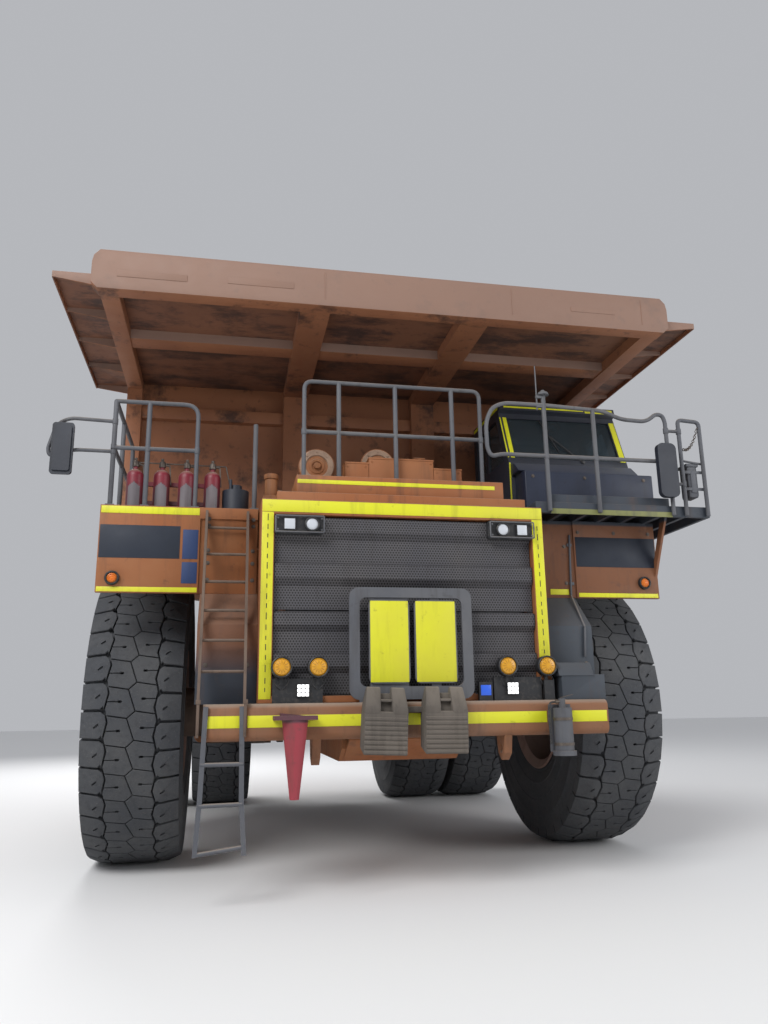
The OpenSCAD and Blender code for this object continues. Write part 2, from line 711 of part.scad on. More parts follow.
function door_window(grow) = [[door_front + 120 + grow, window_low + grow],
    [screen_y(window_high) + 230 + grow, window_high - 40 - grow],
    [hinge_y - 110 - grow, window_high - 40 - grow], [hinge_y - 110 - grow, window_low + grow]];
module cab_shell() {
    color(c_dark) union() {
        difference() {
            cab_slab(cab_in, cab_out, 0);
            cab_slab(cab_in + cab_wall, cab_out - cab_wall, cab_wall);
            across(cab_in + post_w, cab_out - post_w, screen_hole(0));
            across(cab_in - 10, cab_in + cab_wall + 10, front_window(0));
            across(cab_in - 10, cab_in + cab_wall + 10, rear_window(0));
            across(cab_out - cab_wall - 10, cab_out + 10, door_outline(0));
            block([cab_in + 150, cab_back_y - cab_wall - 10, window_low],
                [cab_out - 150, cab_back_y + 10, window_high]);
        }
        // Hinge brackets and pins of the door
        for (z = hinge_z) {
            translate([hinge_x, hinge_pin_y, z - knuckle_h]) cylinder(r = hinge_r, h = 2 * knuckle_h);
            for (low = [z - 1.5 * knuckle_h - side_gap, z + 0.5 * knuckle_h + side_gap]) {
                translate([hinge_x, hinge_pin_y, low]) cylinder(r = 2 * hinge_r, h = knuckle_h);
                block([cab_out - 20, hinge_pin_y + 4, low],
                    [hinge_x + hinge_r, hinge_pin_y + 60, low + knuckle_h]);
            }
        }
    }
}
// Glass: each pane stands a seat's gap inside its opening
glass_t = 10;
module cab_glass() {
    color(c_glass) union() {
        intersection() {
            across(cab_in + post_w + seat, cab_out - post_w - seat, screen_hole(seat));
            across(cab_in, cab_out, [[foot_y + 20, sill_z], [head_y + 20, head_z],
                [head_y + 20 + glass_t, head_z], [foot_y + 20 + glass_t, sill_z]]);
        }
        across(cab_in + 20, cab_in + 20 + glass_t, front_window(seat));
        across(cab_in + 20, cab_in + 20 + glass_t, rear_window(seat));
        block([cab_in + 150 + seat, cab_back_y - 30, window_low + seat],
            [cab_out - 150 - seat, cab_back_y - 30 + glass_t, window_high - seat]);
    }
}
module cab_door() {
    color(c_dark) difference() {
        union() {
            across(cab_out - cab_wall, cab_out, door_outline(side_gap));
            for (z = hinge_z) {
                translate([hinge_x, hinge_pin_y, z - knuckle_h / 2])
                    cylinder(r = 2 * hinge_r, h = knuckle_h);
                block([cab_out + side_gap, hinge_y - 90, z - knuckle_h / 2],
                    [hinge_x + hinge_r, hinge_pin_y, z + knuckle_h / 2]);
                block([cab_out - 10, hinge_y - 90, z - knuckle_h / 2],
                    [cab_out + side_gap + 4, hinge_y - 20, z + knuckle_h / 2]);
            }
            // Handle at the front edge
            block([cab_out - 10, door_front + 60, door_low + 420],
                [cab_out + 25, door_front + 90, door_low + 600]);
        }
        across(cab_out - cab_wall - 10, cab_out + 10, door_window(0));
        for (z = hinge_z)
            translate([hinge_x, hinge_pin_y, z - knuckle_h]) cylinder(r = hinge_r + run, h = 2 * knuckle_h);
    }
}
module door_glass() {
    color(c_glass) across(cab_out - 40, cab_out - 40 + glass_t, door_window(seat));
}
// Seat on its pedestal
cab_mid = (cab_in + cab_out) / 2;
floor_cab = cab_low + cab_wall + seat;
seat_y = foot_y + 560;
module operator_seat() {
    color(c_dark) union() {
        block([cab_mid - 170, seat_y + 80, floor_cab], [cab_mid + 170, seat_y + 400, floor_cab + 330]);
        hull() {
            block([cab_mid - 250, seat_y + 20, floor_cab + 330],
                [cab_mid + 250, seat_y + 480, floor_cab + 420]);
            block([cab_mid - 230, seat_y, floor_cab + 350],
                [cab_mid + 230, seat_y + 460, floor_cab + 450]);
        }
        hull() {
            block([cab_mid - 240, seat_y + 420, floor_cab + 400],
                [cab_mid + 240, seat_y + 530, floor_cab + 440]);
            block([cab_mid - 200, seat_y + 480, floor_cab + 1020],
                [cab_mid + 200, seat_y + 560, floor_cab + 1060]);
        }
    }
}
// Dashboard, steering column and wheel
wheel_c = [cab_mid, foot_y + 480, cab_low + 880];
module cab_controls() {
    color(c_dark) union() {
        across(cab_in + cab_wall + 20, cab_out - cab_wall - 30, [[foot_y + cab_wall + seat, floor_cab],
            [foot_y + 200, floor_cab], [foot_y + 300, sill_z - 160], [foot_y + 250, sill_z - 30],
            [foot_y + cab_wall + seat, sill_z - 30]]);
        rod([cab_mid, foot_y + 180, floor_cab + 300], wheel_c, 35);
        translate(wheel_c) rotate([-35, 0, 0]) {
            rotate_extrude() translate([205, 0]) circle(r = 16, $fn = 24);
            translate([-210, -16, -10]) cube([420, 32, 20]);
            cylinder(r = 55, h = 30, center = true);
        }
    }
}
// Box in front of the cab, below the windscreen
module front_box() {
    color(c_blue) union() {
        across(cab_in + 60, cab_out + 110, [[foot_y - 310, cab_low], [foot_y - 310, sill_z - 190],
            [foot_y - 60, sill_z - 150], [foot_y - seat, sill_z - 150], [foot_y - seat, cab_low]]);
        across(cab_in + 20, cab_out - 10, [[foot_y - 240, sill_z - 170], [foot_y - seat, sill_z - 170],
            [foot_y - seat, sill_z - 20], [foot_y - 90, sill_z - 40]]);
    }
}

// Fire bottles in their rack on the right deck
bottle_r = 78;
module fire_bottles() {
    y = fender_y + 190;
    z = right_top + seat;
    color(c_red) union() {
        for (x = [-2520, -2270, -2035, -1790]) translate([x, y, z]) {
            cylinder(r = bottle_r, h = 330);
            translate([0, 0, 330]) sphere(r = bottle_r);
            cylinder(r = 22, h = 460);
        }
        for (h = [70, 260])
            block([-2600, y + bottle_r - 20, z + h], [-1730, y + bottle_r + 12, z + h + 40]);
        for (x = [-2600, -1742])
            block([x, y + bottle_r - 20, z], [x + 12, y + bottle_r + 60, z + 320]);
    }
}
// Dark tank with its filler, and a small canister beside the hood
module deck_tank() {
    y = fender_y + 260;
    z = right_top + seat;
    color(c_dark) union() {
        translate([-1560, y, z]) cylinder(r = 130, h = 230);
        translate([-1560, y, z]) cylinder(r = 150, h = 30);
        translate([-1560, y, z + 230]) cylinder(r = 60, h = 60);
        translate([-1610, y - 60, z]) cylinder(r = 14, h = 340);
    }
    color(c_body) union() {
        block([-1290, y - 60, z], [-1120, y + 120, z + 190]);
        translate([-1210, y + 20, z + 190]) cylinder(r = 60, h = 110);
    }
}

// Lamps on the surround, on the fenders and over the bumper
module lamps() {
    front = guard_y + 22;
    pod_out = guard_half - guard_bar - seat;
    color(c_dark) union() {
        // Upper pods: columns: side, middle of the square lamp, middle of the round lamp
        for (p = [[-1, 1080, 880], [1, 1110, 920]]) {
            x0 = p[0] < 0 ? -pod_out : pod_out - 438;
            along(guard_y - 12, front, round_rect([x0, guard_top - guard_bar_top - 185],
                [x0 + 438, guard_top - guard_bar_top - 10], 25));
            translate([p[0] * p[1], guard_y - 12, guard_top - guard_bar_top - 95])
                cube([110, 40, 110], center = true);
            bar_y(guard_y - 34, guard_y, p[0] * p[2], guard_top - guard_bar_top - 95, 62);
        }
        // Lower boxes on the bumper with their bright lamps
        for (b = [[-1210, -780, -950], [760, 1210, 930]]) {
            block([b[0], guard_y - 40, bumper_top + seat], [b[1], guard_y - seat, bumper_top + 205]);
            block([b[2] - 55, guard_y - 62, bumper_top + 50], [b[2] + 55, guard_y - 30, bumper_top + 160]);
        }
        block([1225, guard_y - 70, bumper_top + seat], [1320, guard_y - seat, bumper_top + 175]);
        block([620, guard_y - 40, bumper_top + seat], [745, guard_y - seat, bumper_top + 165]);
    }
    color(c_amber) union() {
        // Round lamps: columns: x
        for (x = [-1137, -823, 880, 1254]) {
            bar_y(guard_y - 95, guard_y - 25, x, bumper_top + 300, 90);
            block([x - 14, guard_y - 50, bumper_top + 150], [x + 14, guard_y - 38, bumper_top + 240]);
        }
        // Side markers on the fender panels
        for (m = [[-2646, 2700], [2626, 2730]])
            bar_y(fender_y - 24, fender_y - seat, m[0], m[1], 66);
    }
}

// Sign frame with two blank plates on straps
sign_half = 557;
sign_z = [bumper_top + 20, bumper_top + 992];
sign_t = 30;
module sign_frame() {
    y = guard_y - 105;
    color(c_grey) union() {
        difference() {
            along(y, y + sign_t, round_rect([-sign_half, sign_z[0]], [sign_half, sign_z[1]], 90));
            along(y - 10, y + sign_t + 10, round_rect([-sign_half + 92, sign_z[0] + 110],
                [sign_half - 92, sign_z[1] - 90], 60));
        }
        // Straps that cross the opening: low x and high x
        for (s = [[-372, -30], [176, 262]])
            block([s[0], y + sign_t - 12, sign_z[0] + 60], [s[1], y + sign_t, sign_z[1] - 60]);
        // Feet on the bumper
        for (x = [-470, 400])
            block([x, y, bumper_top + seat], [x + 70, y + sign_t, sign_z[0] + 40]);
    }
    // Blank plates: low x and high x
    color(c_yellow) for (p = [[-385, -20], [25, 410]])
        along(y - 4, y + sign_t - 12 - seat, round_rect([p[0], sign_z[0] + 135],
            [p[1], sign_z[1] - 110], 50));
}

// Two wheel chocks that hang on the front of the bumper
chock_w = 372;
chock_h = 560;
chock_front = 190;
module chock(x) {
    y1 = bumper_y - seat;
    z1 = bumper_top + 120;
    difference() {
        across(x, x + chock_w, [[y1, z1 - 118], [y1 - 60, z1], [y1 - 110, z1], [y1 - chock_front, z1 - 190],
            [y1 - chock_front, z1 - chock_h], [y1, z1 - chock_h + 60]]);
        // Slot in the upper face
        across(x + chock_w * 0.36, x + chock_w * 0.66, [[y1 - 10, z1 + 20], [y1 - 70, z1 + 20],
            [y1 - chock_front - 10, z1 - 165], [y1 - chock_front - 10, z1 - 215],
            [y1 - chock_front + 45, z1 - 215], [y1 - 60, z1 - 80]]);
        // Grip grooves across the front
        for (i = [0:4])
            block([x - 5, y1 - chock_front - 5, z1 - 290 - 55 * i],
                [x + chock_w + 5, y1 - chock_front + 16, z1 - 270 - 55 * i]);
    }
}
module wheel_chocks() {
    color(c_dust) union() {
        chock(-470);
        chock(45);
        block([-110, bumper_y - 60, bumper_top - 90], [60, bumper_y - seat, bumper_top - 40]);
    }
}
// Cone stowed upside down on the bumper
module traffic_cone() {
    c = [-1035, bumper_y - 120];
    top = bumper_top - 130;
    color(c_red) union() {
        translate([c[0], c[1], top - 620]) cylinder(r1 = 38, r2 = 108, h = 620);
        translate([c[0] - 175, c[1] - 110, top - 4]) cube([350, 230 - seat, 34]);
        translate([c[0] - 120, c[1] - 40, top + 25]) rotate([0, 6, 0]) cube([250, 150, 26]);
    }
}
// Extinguisher in its bracket at the bumper's end
module extinguisher() {
    color(c_grey) union() {
        block([1205, bumper_y - 60, bumper_top - 440], [1390, bumper_y - seat, bumper_top - 40]);
        translate([1298, bumper_y - 95, bumper_top - 440]) cylinder(r = 82, h = 370);
        translate([1298, bumper_y - 95, bumper_top - 470]) cylinder(r = 100, h = 40);
        translate([1298, bumper_y - 95, bumper_top - 80]) cylinder(r = 30, h = 90);
    }
}

// Tanks hung on the frame between the wheels
tank_y = [hoist_base[0] - 1136, hoist_base[0] - 321];
tank_x = [1095, 1990];
tank_z = [1090, 2110];
module tank(round_r) {
    union() {
        along(tank_y[0], tank_y[1], round_rect([tank_x[0], tank_z[0]], [tank_x[1], tank_z[1]], round_r));
        for (y = [tank_y[0] + 120, tank_y[1] - 220])
            block([rail_out + seat, y, rail_low + 130], [tank_x[0] + 60, y + 90, rail_top - 130]);
        translate([tank_x[1] - 260, tank_y[0] + 200, tank_z[1] - 5]) cylinder(r = 80, h = 60);
    }
}
module fuel_tank() {
    color(c_body) tank(180);
}
module hydraulic_tank() {
    color(c_body) mirror([1, 0, 0]) tank(90);
}

// Front struts: barrels held by the towers, which the knuckles turn in
strut_low = 1900;
strut_high = 2960;
ram_r = 140;
ram_high = 2520;
module front_struts() {
    color(c_body) both_sides() difference() {
        union() {
            translate([strut_x, fy, strut_low]) cylinder(r = strut_r, h = strut_high - strut_low);
            translate([strut_x, fy, strut_high]) cylinder(r = strut_r - 60, h = 60);
            translate([strut_x, fy, strut_low]) cylinder(r = strut_r + 25, h = 50);
        }
        translate([strut_x, fy, strut_low - 10]) cylinder(r = ram_r + run, h = ram_high + 40 - strut_low);
    }
}
// Knuckle: a ram that turns in the strut, the knuckle body and the spindle
knuckle_r = 215;
spindle_r = 150;
spindle_end = 150;
module knuckle() {
    color(c_body) union() {
        translate([strut_x, fy, axle_z]) cylinder(r = ram_r, h = ram_high - axle_z);
        translate([strut_x, fy, axle_z - 330]) cylinder(r = knuckle_r, h = strut_low - side_gap - axle_z + 330);
        bar_x(strut_x, front_x + spindle_end, fy, axle_z, spindle_r);
        bar_x(strut_x, front_x - 260, fy, axle_z, 260);
        // Steering arm
        across(strut_x - 60, strut_x + 40, [[fy + 150, axle_z - 300], [fy + 520, axle_z - 260],
            [fy + 560, axle_z - 200], [fy + 520, axle_z - 140], [fy + 150, axle_z - 60]]);
    }
}
module left_knuckle() {
    knuckle();
}
module right_knuckle() {
    mirror([1, 0, 0]) knuckle();
}

// Tyre section turned about its axle: points are [radius, offset from the middle]
bead_half = tyre_w * 0.40;
module tyre_section() {
    r0 = rim_r + seat;
    shoulder = tyre_r - 70;
    half = tyre_w / 2;
    polygon([[r0, -bead_half], [r0 + 90, -bead_half - 14], [rim_r + 330, -half], [rim_r + 470, -half],
        [shoulder - 60, -half + 22], [shoulder + 20, -tread_half - 8], [tyre_r - 12, -tread_half + 20],
        [tyre_r, -tread_half * 0.6], [tyre_r, tread_half * 0.6], [tyre_r - 12, tread_half - 20],
        [shoulder + 20, tread_half + 8], [shoulder - 60, half - 22], [rim_r + 470, half],
        [rim_r + 330, half], [r0 + 90, bead_half + 14], [r0, bead_half],
        [r0 + 30, bead_half - 60], [tyre_r - 230, half - 90], [tyre_r - 160, half - 160],
        [tyre_r - 160, -half + 160], [tyre_r - 230, -half + 90], [r0 + 30, -bead_half + 60]]);
}
// Slots between the shoulder lugs, cut along the axle from the shoulder towards the middle
slot_share = 0.3;
slot_in = tread_half * 0.42;
module shoulder_slots() {
    step = 360 / lug_count;
    low = tyre_r - groove_d;
    high = tyre_r + 60;
    for (i = [0:lug_count - 1]) let (a = i * step, h = step * slot_share / 2)
        rotate([0, 0, a]) linear_extrude(height = tyre_w)
            polygon([[low, -low * tan(h * 0.7)], [high, -high * tan(h)], [high, high * tan(h)],
                [low, low * tan(h * 0.7)]]);
}
module tyre(x) {
    translate([x, 0, 0]) rotate([0, 90, 0]) difference() {
        rotate_extrude($fn = 96) tyre_section();
        translate([0, 0, slot_in]) shoulder_slots();
        rotate([0, 0, 180 / lug_count]) mirror([0, 0, 1]) translate([0, 0, slot_in]) shoulder_slots();
    }
}
// Rim section: seat, flanges, disc and hub round the spindle's bore
module rim(x, bore_r, hub_half, hub_r) {
    translate([x, 0, 0]) rotate([0, 90, 0]) rotate_extrude($fn = 96) polygon([
        [bore_r, -hub_half], [hub_r, -hub_half], [hub_r, 20], [rim_r - 90, 90], [rim_r - 40, 20],
        [rim_r - 40, -bead_half + 10], [rim_r + 45, -bead_half - 50],
        [rim_r + 60, -bead_half - 34], [rim_r, -bead_half - 16], [rim_r, bead_half + 16],
        [rim_r + 60, bead_half + 34], [rim_r + 45, bead_half + 50], [rim_r - 40, bead_half - 10],
        [rim_r - 40, 130], [rim_r - 80, 160], [hub_r, 90], [hub_r, hub_half], [bore_r, hub_half]]);
}
module at_axle(y) {
    translate([0, y, axle_z]) children();
}
front_hub_r = 300;
rear_hub_r = 430;
rear_spindle_r = 330;
module front_rim() {
    at_axle(fy) {
        rim(front_x, spindle_r + run, 190, front_hub_r);
        // Hub cap that closes the hub beyond the spindle's end
        translate([front_x + 190, 0, 0]) rotate([0, 90, 0]) cylinder(r = front_hub_r - 60, h = 120);
    }
}
module rear_rims() {
    at_axle(ry) {
        rim(twin_in, rear_spindle_r + run, 300, rear_hub_r);
        rim(twin_out, rear_spindle_r + run, 300, rear_hub_r);
        difference() {
            bar_x(twin_in + 290, twin_out - 290, 0, 0, rear_hub_r);
            bar_x(twin_in, twin_out, 0, 0, rear_spindle_r + run);
        }
        // Drive housing that closes the hub
        translate([twin_out + 300, 0, 0]) rotate([0, 90, 0]) cylinder(r = rear_hub_r - 40, h = 150);
    }
}
module front_left_tyre() {
    color(c_rubber) at_axle(fy) tyre(front_x);
}
module front_right_tyre() {
    color(c_rubber) at_axle(fy) tyre(-front_x);
}
module rear_left_tyres() {
    color(c_rubber) at_axle(ry) {
        tyre(twin_in);
        tyre(twin_out);
    }
}
module rear_right_tyres() {
    color(c_rubber) at_axle(ry) {
        tyre(-twin_in);
        tyre(-twin_out);
    }
}
module front_left_rim() {
    color(c_dust) front_rim();
}
module front_right_rim() {
    color(c_dust) mirror([1, 0, 0]) front_rim();
}
module rear_left_rims() {
    color(c_dust) rear_rims();
}
module rear_right_rims() {
    color(c_dust) mirror([1, 0, 0]) rear_rims();
}

// Rear axle: banjo housing, brake drums, spindles and the arm to the frame
rear_strut_x = 640;
drum_x = [twin_in - 720, twin_in - 500];
// Radius and distance from the middle along one half of the axle
axle_half = [[0, twin_out + 290], [rear_spindle_r, twin_out + 290], [rear_spindle_r, drum_x[1]],
    [560, drum_x[1]], [560, drum_x[0]], [tube_r_axle, drum_x[0]], [tube_r_axle, 500], [430, 330], [520, 130]];
module rear_axle() {
    arm_y = rear_member[0] + 160;
    color(c_body) union() {
        translate([0, ry, axle_z]) rotate([0, 90, 0]) rotate_extrude($fn = 96)
            polygon(concat(axle_half, [for (i = [len(axle_half) - 1:-1:0]) [axle_half[i][0], -axle_half[i][1]]]));
        both_sides() {
            // Seat of the rear strut
            block([rear_strut_x - 120, ry + 200, axle_z - 200], [rear_strut_x + 120, ry + 640, axle_z - 40]);
            // Arm towards the frame's cross member
            along(ry - 420, ry - 300, [[120, axle_z - 150], [520, axle_z - 150], [520, axle_z + 150],
                [120, axle_z + 150]]);
        }
        along(arm_y, ry - 380, [[-170, axle_z - 110], [170, axle_z - 110], [170, axle_z + 110],
            [-170, axle_z + 110]]);
        block([-170, rear_member[0] - 60, axle_z - 110],
            [170, arm_y + 40, rear_member[1] - rear_member[2] - seat]);
    }
}
// Rear struts between the axle's seats and the frame
module rear_struts() {
    low = axle_z - 40 + seat;
    high = rail_arch_z - seat;
    y = ry + 480;
    color(c_body) both_sides() union() {
        translate([rear_strut_x, y, low]) cylinder(r = 80, h = high - low);
        translate([rear_strut_x, y, low]) cylinder(r = 110, h = 30);
        translate([rear_strut_x, y, low + 60]) cylinder(r = 105, h = 130);
    }
}

// Dump bed: floor in two slopes with a shallow vee, sides with ribs, front wall with posts
wall_y = fy + wall_back;
kink_y = ry + chute_start;
tail_y = ry + tail_end;
kink_z = floor_z + (kink_y - wall_y) * tan(floor_slope);
tail_z = kink_z + (tail_y - kink_y) * tan(tail_slope);
canopy_z = lip_top - lip_h + 120;
bed_out = bed_half + plate_t;
side_top_y = [wall_y + 900, ry + 1650];
bed_ear_r = 125;
bed_rail_x = [rail_in + 20 + side_gap, rail_out - 20 - side_gap];
post_d = 150;
wall_post_x = [680, 980];
edge_post_x = [2715, 2890];
function floor_at(y) = y < kink_y ? floor_z + (y - wall_y) * tan(floor_slope)
                                  : kink_z + (y - kink_y) * tan(tail_slope);
function vee_at(x) = abs(x) * tan(vee_slope);
module tilted(side, pts) {
    // A side profile extruded across and tilted so that it rises towards one side
    rotate([0, -side * vee_slope, 0])
        across(-4000, 4000, [for (p = pts) [p[0], p[1] * cos(vee_slope)]]);
}
module above_floor(drop, y0) {
    // All that lies above the two halves of the floor, lowered by drop
    pts = [[y0, floor_z - drop + (y0 - wall_y) * tan(floor_slope)], [kink_y, kink_z - drop],
        [tail_y + 300, kink_z - drop + (tail_y + 300 - kink_y) * tan(tail_slope)],
        [tail_y + 300, 9000], [y0, 9000]];
    intersection() {
        tilted(1, pts);
        tilted(-1, pts);
    }
}
module dump_bed() {
    front = wall_y - plate_t;
    side_low = floor_z + vee_at(bed_half);
    color(c_body) difference() {
        union() {
            // Plates
            intersection() {
                across(-bed_out, bed_out, [[front, 2400], [tail_y, 3000],
                    [tail_y, tail_z + vee_at(bed_half) + 180], [side_top_y[1], bed_top],
                    [side_top_y[0], bed_top], [wall_y + 250, canopy_z - seat],
                    [front, canopy_z - seat]]);
                above_floor(plate_t, wall_y - 400);
            }
            both_sides() {
                // Top rail and ribs of a side
                block([bed_out - 10, side_top_y[0], bed_top - 190],
                    [bed_out + rib_d + 15, side_top_y[1], bed_top]);
                for (i = [0:6]) let (y = side_top_y[0] - 700 + i * 830, zf = floor_at(y) + vee_at(bed_half))
                    along(y, y + 230, [[bed_out - 10, zf - 90], [bed_out + rib_d * 0.6, zf - 60],
                        [bed_out + rib_d, zf + 120], [bed_out + rib_d, bed_top - 180],
                        [bed_out - 10, bed_top - 100]]);
                // Rail along the floor's edge
                across(bed_out - 10, bed_out + rib_d * 0.7, [[front + 200, side_low - 60],
                    [kink_y, kink_z + vee_at(bed_half) - 60], [tail_y, tail_z + vee_at(bed_half) - 60],
                    [tail_y, tail_z + vee_at(bed_half) + 120],
                    [kink_y, kink_z + vee_at(bed_half) + 120], [front + 200, side_low + 120]]);
                // Cross ribs below the floor
                for (i = [0:6]) let (y = wall_y + 1230 + i * 880, z = floor_at(y) - plate_t)
                    along(y, y + 170, [[1090, z + vee_at(1090) - 130], [bed_half, z + vee_at(bed_half) - 130],
                        [bed_half, z + vee_at(bed_half) + 30], [1090, z + vee_at(1090) + 30]]);
                // Long rail below the floor, with the ear of the bed's pivot
                across(bed_rail_x[0], bed_rail_x[1], [[wall_y + 60, rail_top + 160],
                    [wall_y + 160, rail_top + side_gap], [pivot_y - 160, rail_top + side_gap],
                    [pivot_y, pivot_z - bed_ear_r + 2], [pivot_y + bed_ear_r - 10, pivot_z],
                    [pivot_y + 400, pivot_z + 420], [tail_y - 500, floor_at(tail_y - 500) - 20],
                    [kink_y, kink_z - 20], [wall_y + 60, floor_z - 20]]);
                bar_x(bed_rail_x[0], bed_rail_x[1], pivot_y, pivot_z, bed_ear_r);
                // Cheeks for the hoist's rod eye
                for (s = [-1, 1]) let (x = hoist_x + s * (barrel_eye_w / 2 + side_gap + 20))
                    across(x - 20, x + 20, [[hoist_top[0] - 170, floor_at(hoist_top[0] - 170) + vee_at(hoist_x) - 10],
                        [hoist_top[0] - 70, hoist_top[1] - 80], [hoist_top[0] + 70, hoist_top[1] - 80],
                        [hoist_top[0] + 170, floor_at(hoist_top[0]) + vee_at(hoist_x) - 10]]);
                // Posts on the front wall
                for (p = [wall_post_x, edge_post_x])
                    block([p[0], front - post_d, floor_z + 260], [p[1], front + 10, canopy_z - seat]);
            }
            // Bands across the front wall: height, depth
            for (b = [[canopy_z - 480, 110], [floor_z + 900, 90], [floor_z + 260, 120]])
                block([-edge_post_x[0] - 20, front - b[1], b[0]], [edge_post_x[0] + 20, front + 10, b[0] + 150]);
            // Cross members between the long rails
            for (y = [wall_y + 120, fy + 2300, ry - 900, pivot_y - 500])
                block([-bed_rail_x[0] - 20, y, rail_top + 120], [bed_rail_x[0] + 20, y + 180, floor_at(y) - 20]);
        }
        // Load space
        intersection() {
            block([-bed_half, wall_y, 2000], [bed_half, tail_y + 200, 7000]);
            above_floor(0, wall_y - 300);
        }
        both_sides() bar_x(bed_rail_x[0] - 10, bed_rail_x[1] + 10, pivot_y, pivot_z, bed_pin_r + run);
    }
}

// Canopy over the cab: plate, box lip, long beams, cross ribs and side wings
lip_d = 170;
canopy_t = 40;
beam_low = lip_top - lip_h;
wing_y = [lip_y + 80, fy + 655];
wing_z = canopy_z + 40;
module canopy() {
    back_y = wall_y + 20;
    post_front = wall_y - plate_t - post_d;
    color(c_dust) union() {
        block([-lip_half + 30, lip_y + lip_d - 10, canopy_z], [lip_half - 30, back_y, canopy_z + canopy_t]);
        // Lip with cut corners
        along(lip_y, lip_y + lip_d, [[-lip_half + 70, lip_top], [-lip_half + 15, lip_top - 60],
            [-lip_half, lip_top - 130], [-lip_half, beam_low + 60], [-lip_half + 60, beam_low],
            [lip_half - 60, beam_low], [lip_half, beam_low + 60], [lip_half, lip_top - 130],
            [lip_half - 15, lip_top - 60], [lip_half - 70, lip_top]]);
        both_sides() {
            // Beams
            for (p = [wall_post_x, edge_post_x])
                block([p[0], lip_y + lip_d - 10, beam_low], [p[1], post_front - seat, canopy_z + 10]);
            // Curb along the side
            block([lip_half - 70, lip_y + lip_d - 10, canopy_z + canopy_t - 10],
                [lip_half - 30, back_y, canopy_z + canopy_t + 90]);
            // Wing with a flange and gussets below
            block([lip_half - 40, wing_y[0], wing_z], [wing_half, wing_y[1], wing_z + 20]);
            block([wing_half - 16, wing_y[0], wing_z - 45], [wing_half, wing_y[1], wing_z + 10]);
            for (i = [0:4]) let (y = wing_y[0] + i * (wing_y[1] - wing_y[0] - 20) / 4)
                along(y, y + 20, [[lip_half - 60, canopy_z - 60], [wing_half - 8, wing_z - 40],
                    [wing_half - 8, wing_z + 10], [lip_half - 60, wing_z + 10]]);
        }
        // Cross ribs
        for (y = [lip_y + 1080])
            block([-edge_post_x[0] - 20, y, canopy_z - 105], [edge_post_x[0] + 20, y + 240, canopy_z + 10]);
    }
}

// Hoists: barrel on the frame's pin, then a tube, then the rod with its eye below the bed
barrel_len = hoist_len - 232;
cheek_reach = 140;
tube_r = 92;
rod_r = 66;
eye_r = 90;
gland = 40;
module in_hoist_frame() {
    // Children stand on the lower pin with Z towards the upper pin
    turn = atan2(hoist_top[0] - hoist_base[0], hoist_top[1] - hoist_base[1]);
    translate([hoist_x, hoist_base[0], hoist_base[1]]) rotate([-turn, 0, 0]) children();
}
module hoist_eye(r, hole) {
    difference() {
        rotate([0, 90, 0]) cylinder(r = r, h = barrel_eye_w, center = true);
        rotate([0, 90, 0]) cylinder(r = hole, h = barrel_eye_w + 20, center = true);
    }
}
module hoist_barrel() {
    color(c_body) in_hoist_frame() union() {
        hoist_eye(eye_r + 10, hoist_pin_r + run);
        difference() {
            translate([0, 0, eye_r - 10]) cylinder(r = barrel_r - 5, h = barrel_len - eye_r + 10);
            translate([0, 0, 150]) cylinder(r = tube_r + run, h = barrel_len);
            rotate([0, 90, 0]) cylinder(r = hoist_pin_r + run, h = 300, center = true);
        }
    }
}
module hoist_tube() {
    color(c_chrome) in_hoist_frame() difference() {
        translate([0, 0, 160]) cylinder(r = tube_r, h = barrel_len - 160 + gland);
        translate([0, 0, 210]) cylinder(r = rod_r + run, h = barrel_len);
    }
}
module hoist_rod() {
    color(c_chrome) in_hoist_frame() union() {
        translate([0, 0, 220]) cylinder(r = rod_r, h = hoist_len - 220 - cheek_reach);
        translate([0, 0, hoist_len - cheek_reach - 20]) cylinder(r = barrel_eye_w / 2 - 3, h = cheek_reach);
        translate([0, 0, hoist_len]) {
            rotate([0, 90, 0]) cylinder(r = eye_r - 12, h = barrel_eye_w, center = true);
            rotate([0, 90, 0]) cylinder(r = hoist_pin_r, h = barrel_eye_w + 4, center = true);
        }
    }
}
module left_hoist_barrel() {
    hoist_barrel();
}
module left_hoist_tube() {
    hoist_tube();
}
module left_hoist_rod() {
    hoist_rod();
}
module right_hoist_barrel() {
    mirror([1, 0, 0]) hoist_barrel();
}
module right_hoist_tube() {
    mirror([1, 0, 0]) hoist_tube();
}
module right_hoist_rod() {
    mirror([1, 0, 0]) hoist_rod();
}

frame();
front_bumper();
belly_guard();
radiator_guard();
grille();
engine_block();
hood();
air_cleaners();
right_deck();
cab_deck();
lower_panels();
ladder();
hanging_ladder();
right_handrail();
centre_handrail();
cab_handrail();
mirrors();
cab_shell();
cab_glass();
cab_door();
door_glass();
operator_seat();
cab_controls();
front_box();
fire_bottles();
deck_tank();
lamps();
sign_frame();
wheel_chocks();
traffic_cone();
extinguisher();
fuel_tank();
hydraulic_tank();
front_struts();
rear_struts();
rear_axle();
left_knuckle();
right_knuckle();
front_left_tyre();
front_right_tyre();
front_left_rim();
front_right_rim();
rear_left_tyres();
rear_right_tyres();
rear_left_rims();
rear_right_rims();
dump_bed();
canopy();
left_hoist_barrel();
left_hoist_tube();
left_hoist_rod();
right_hoist_barrel();
right_hoist_tube();
right_hoist_rod();
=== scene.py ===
import math

import bmesh
import bpy
from mathutils import Matrix, Vector
from mathutils.bvhtree import BVHTree


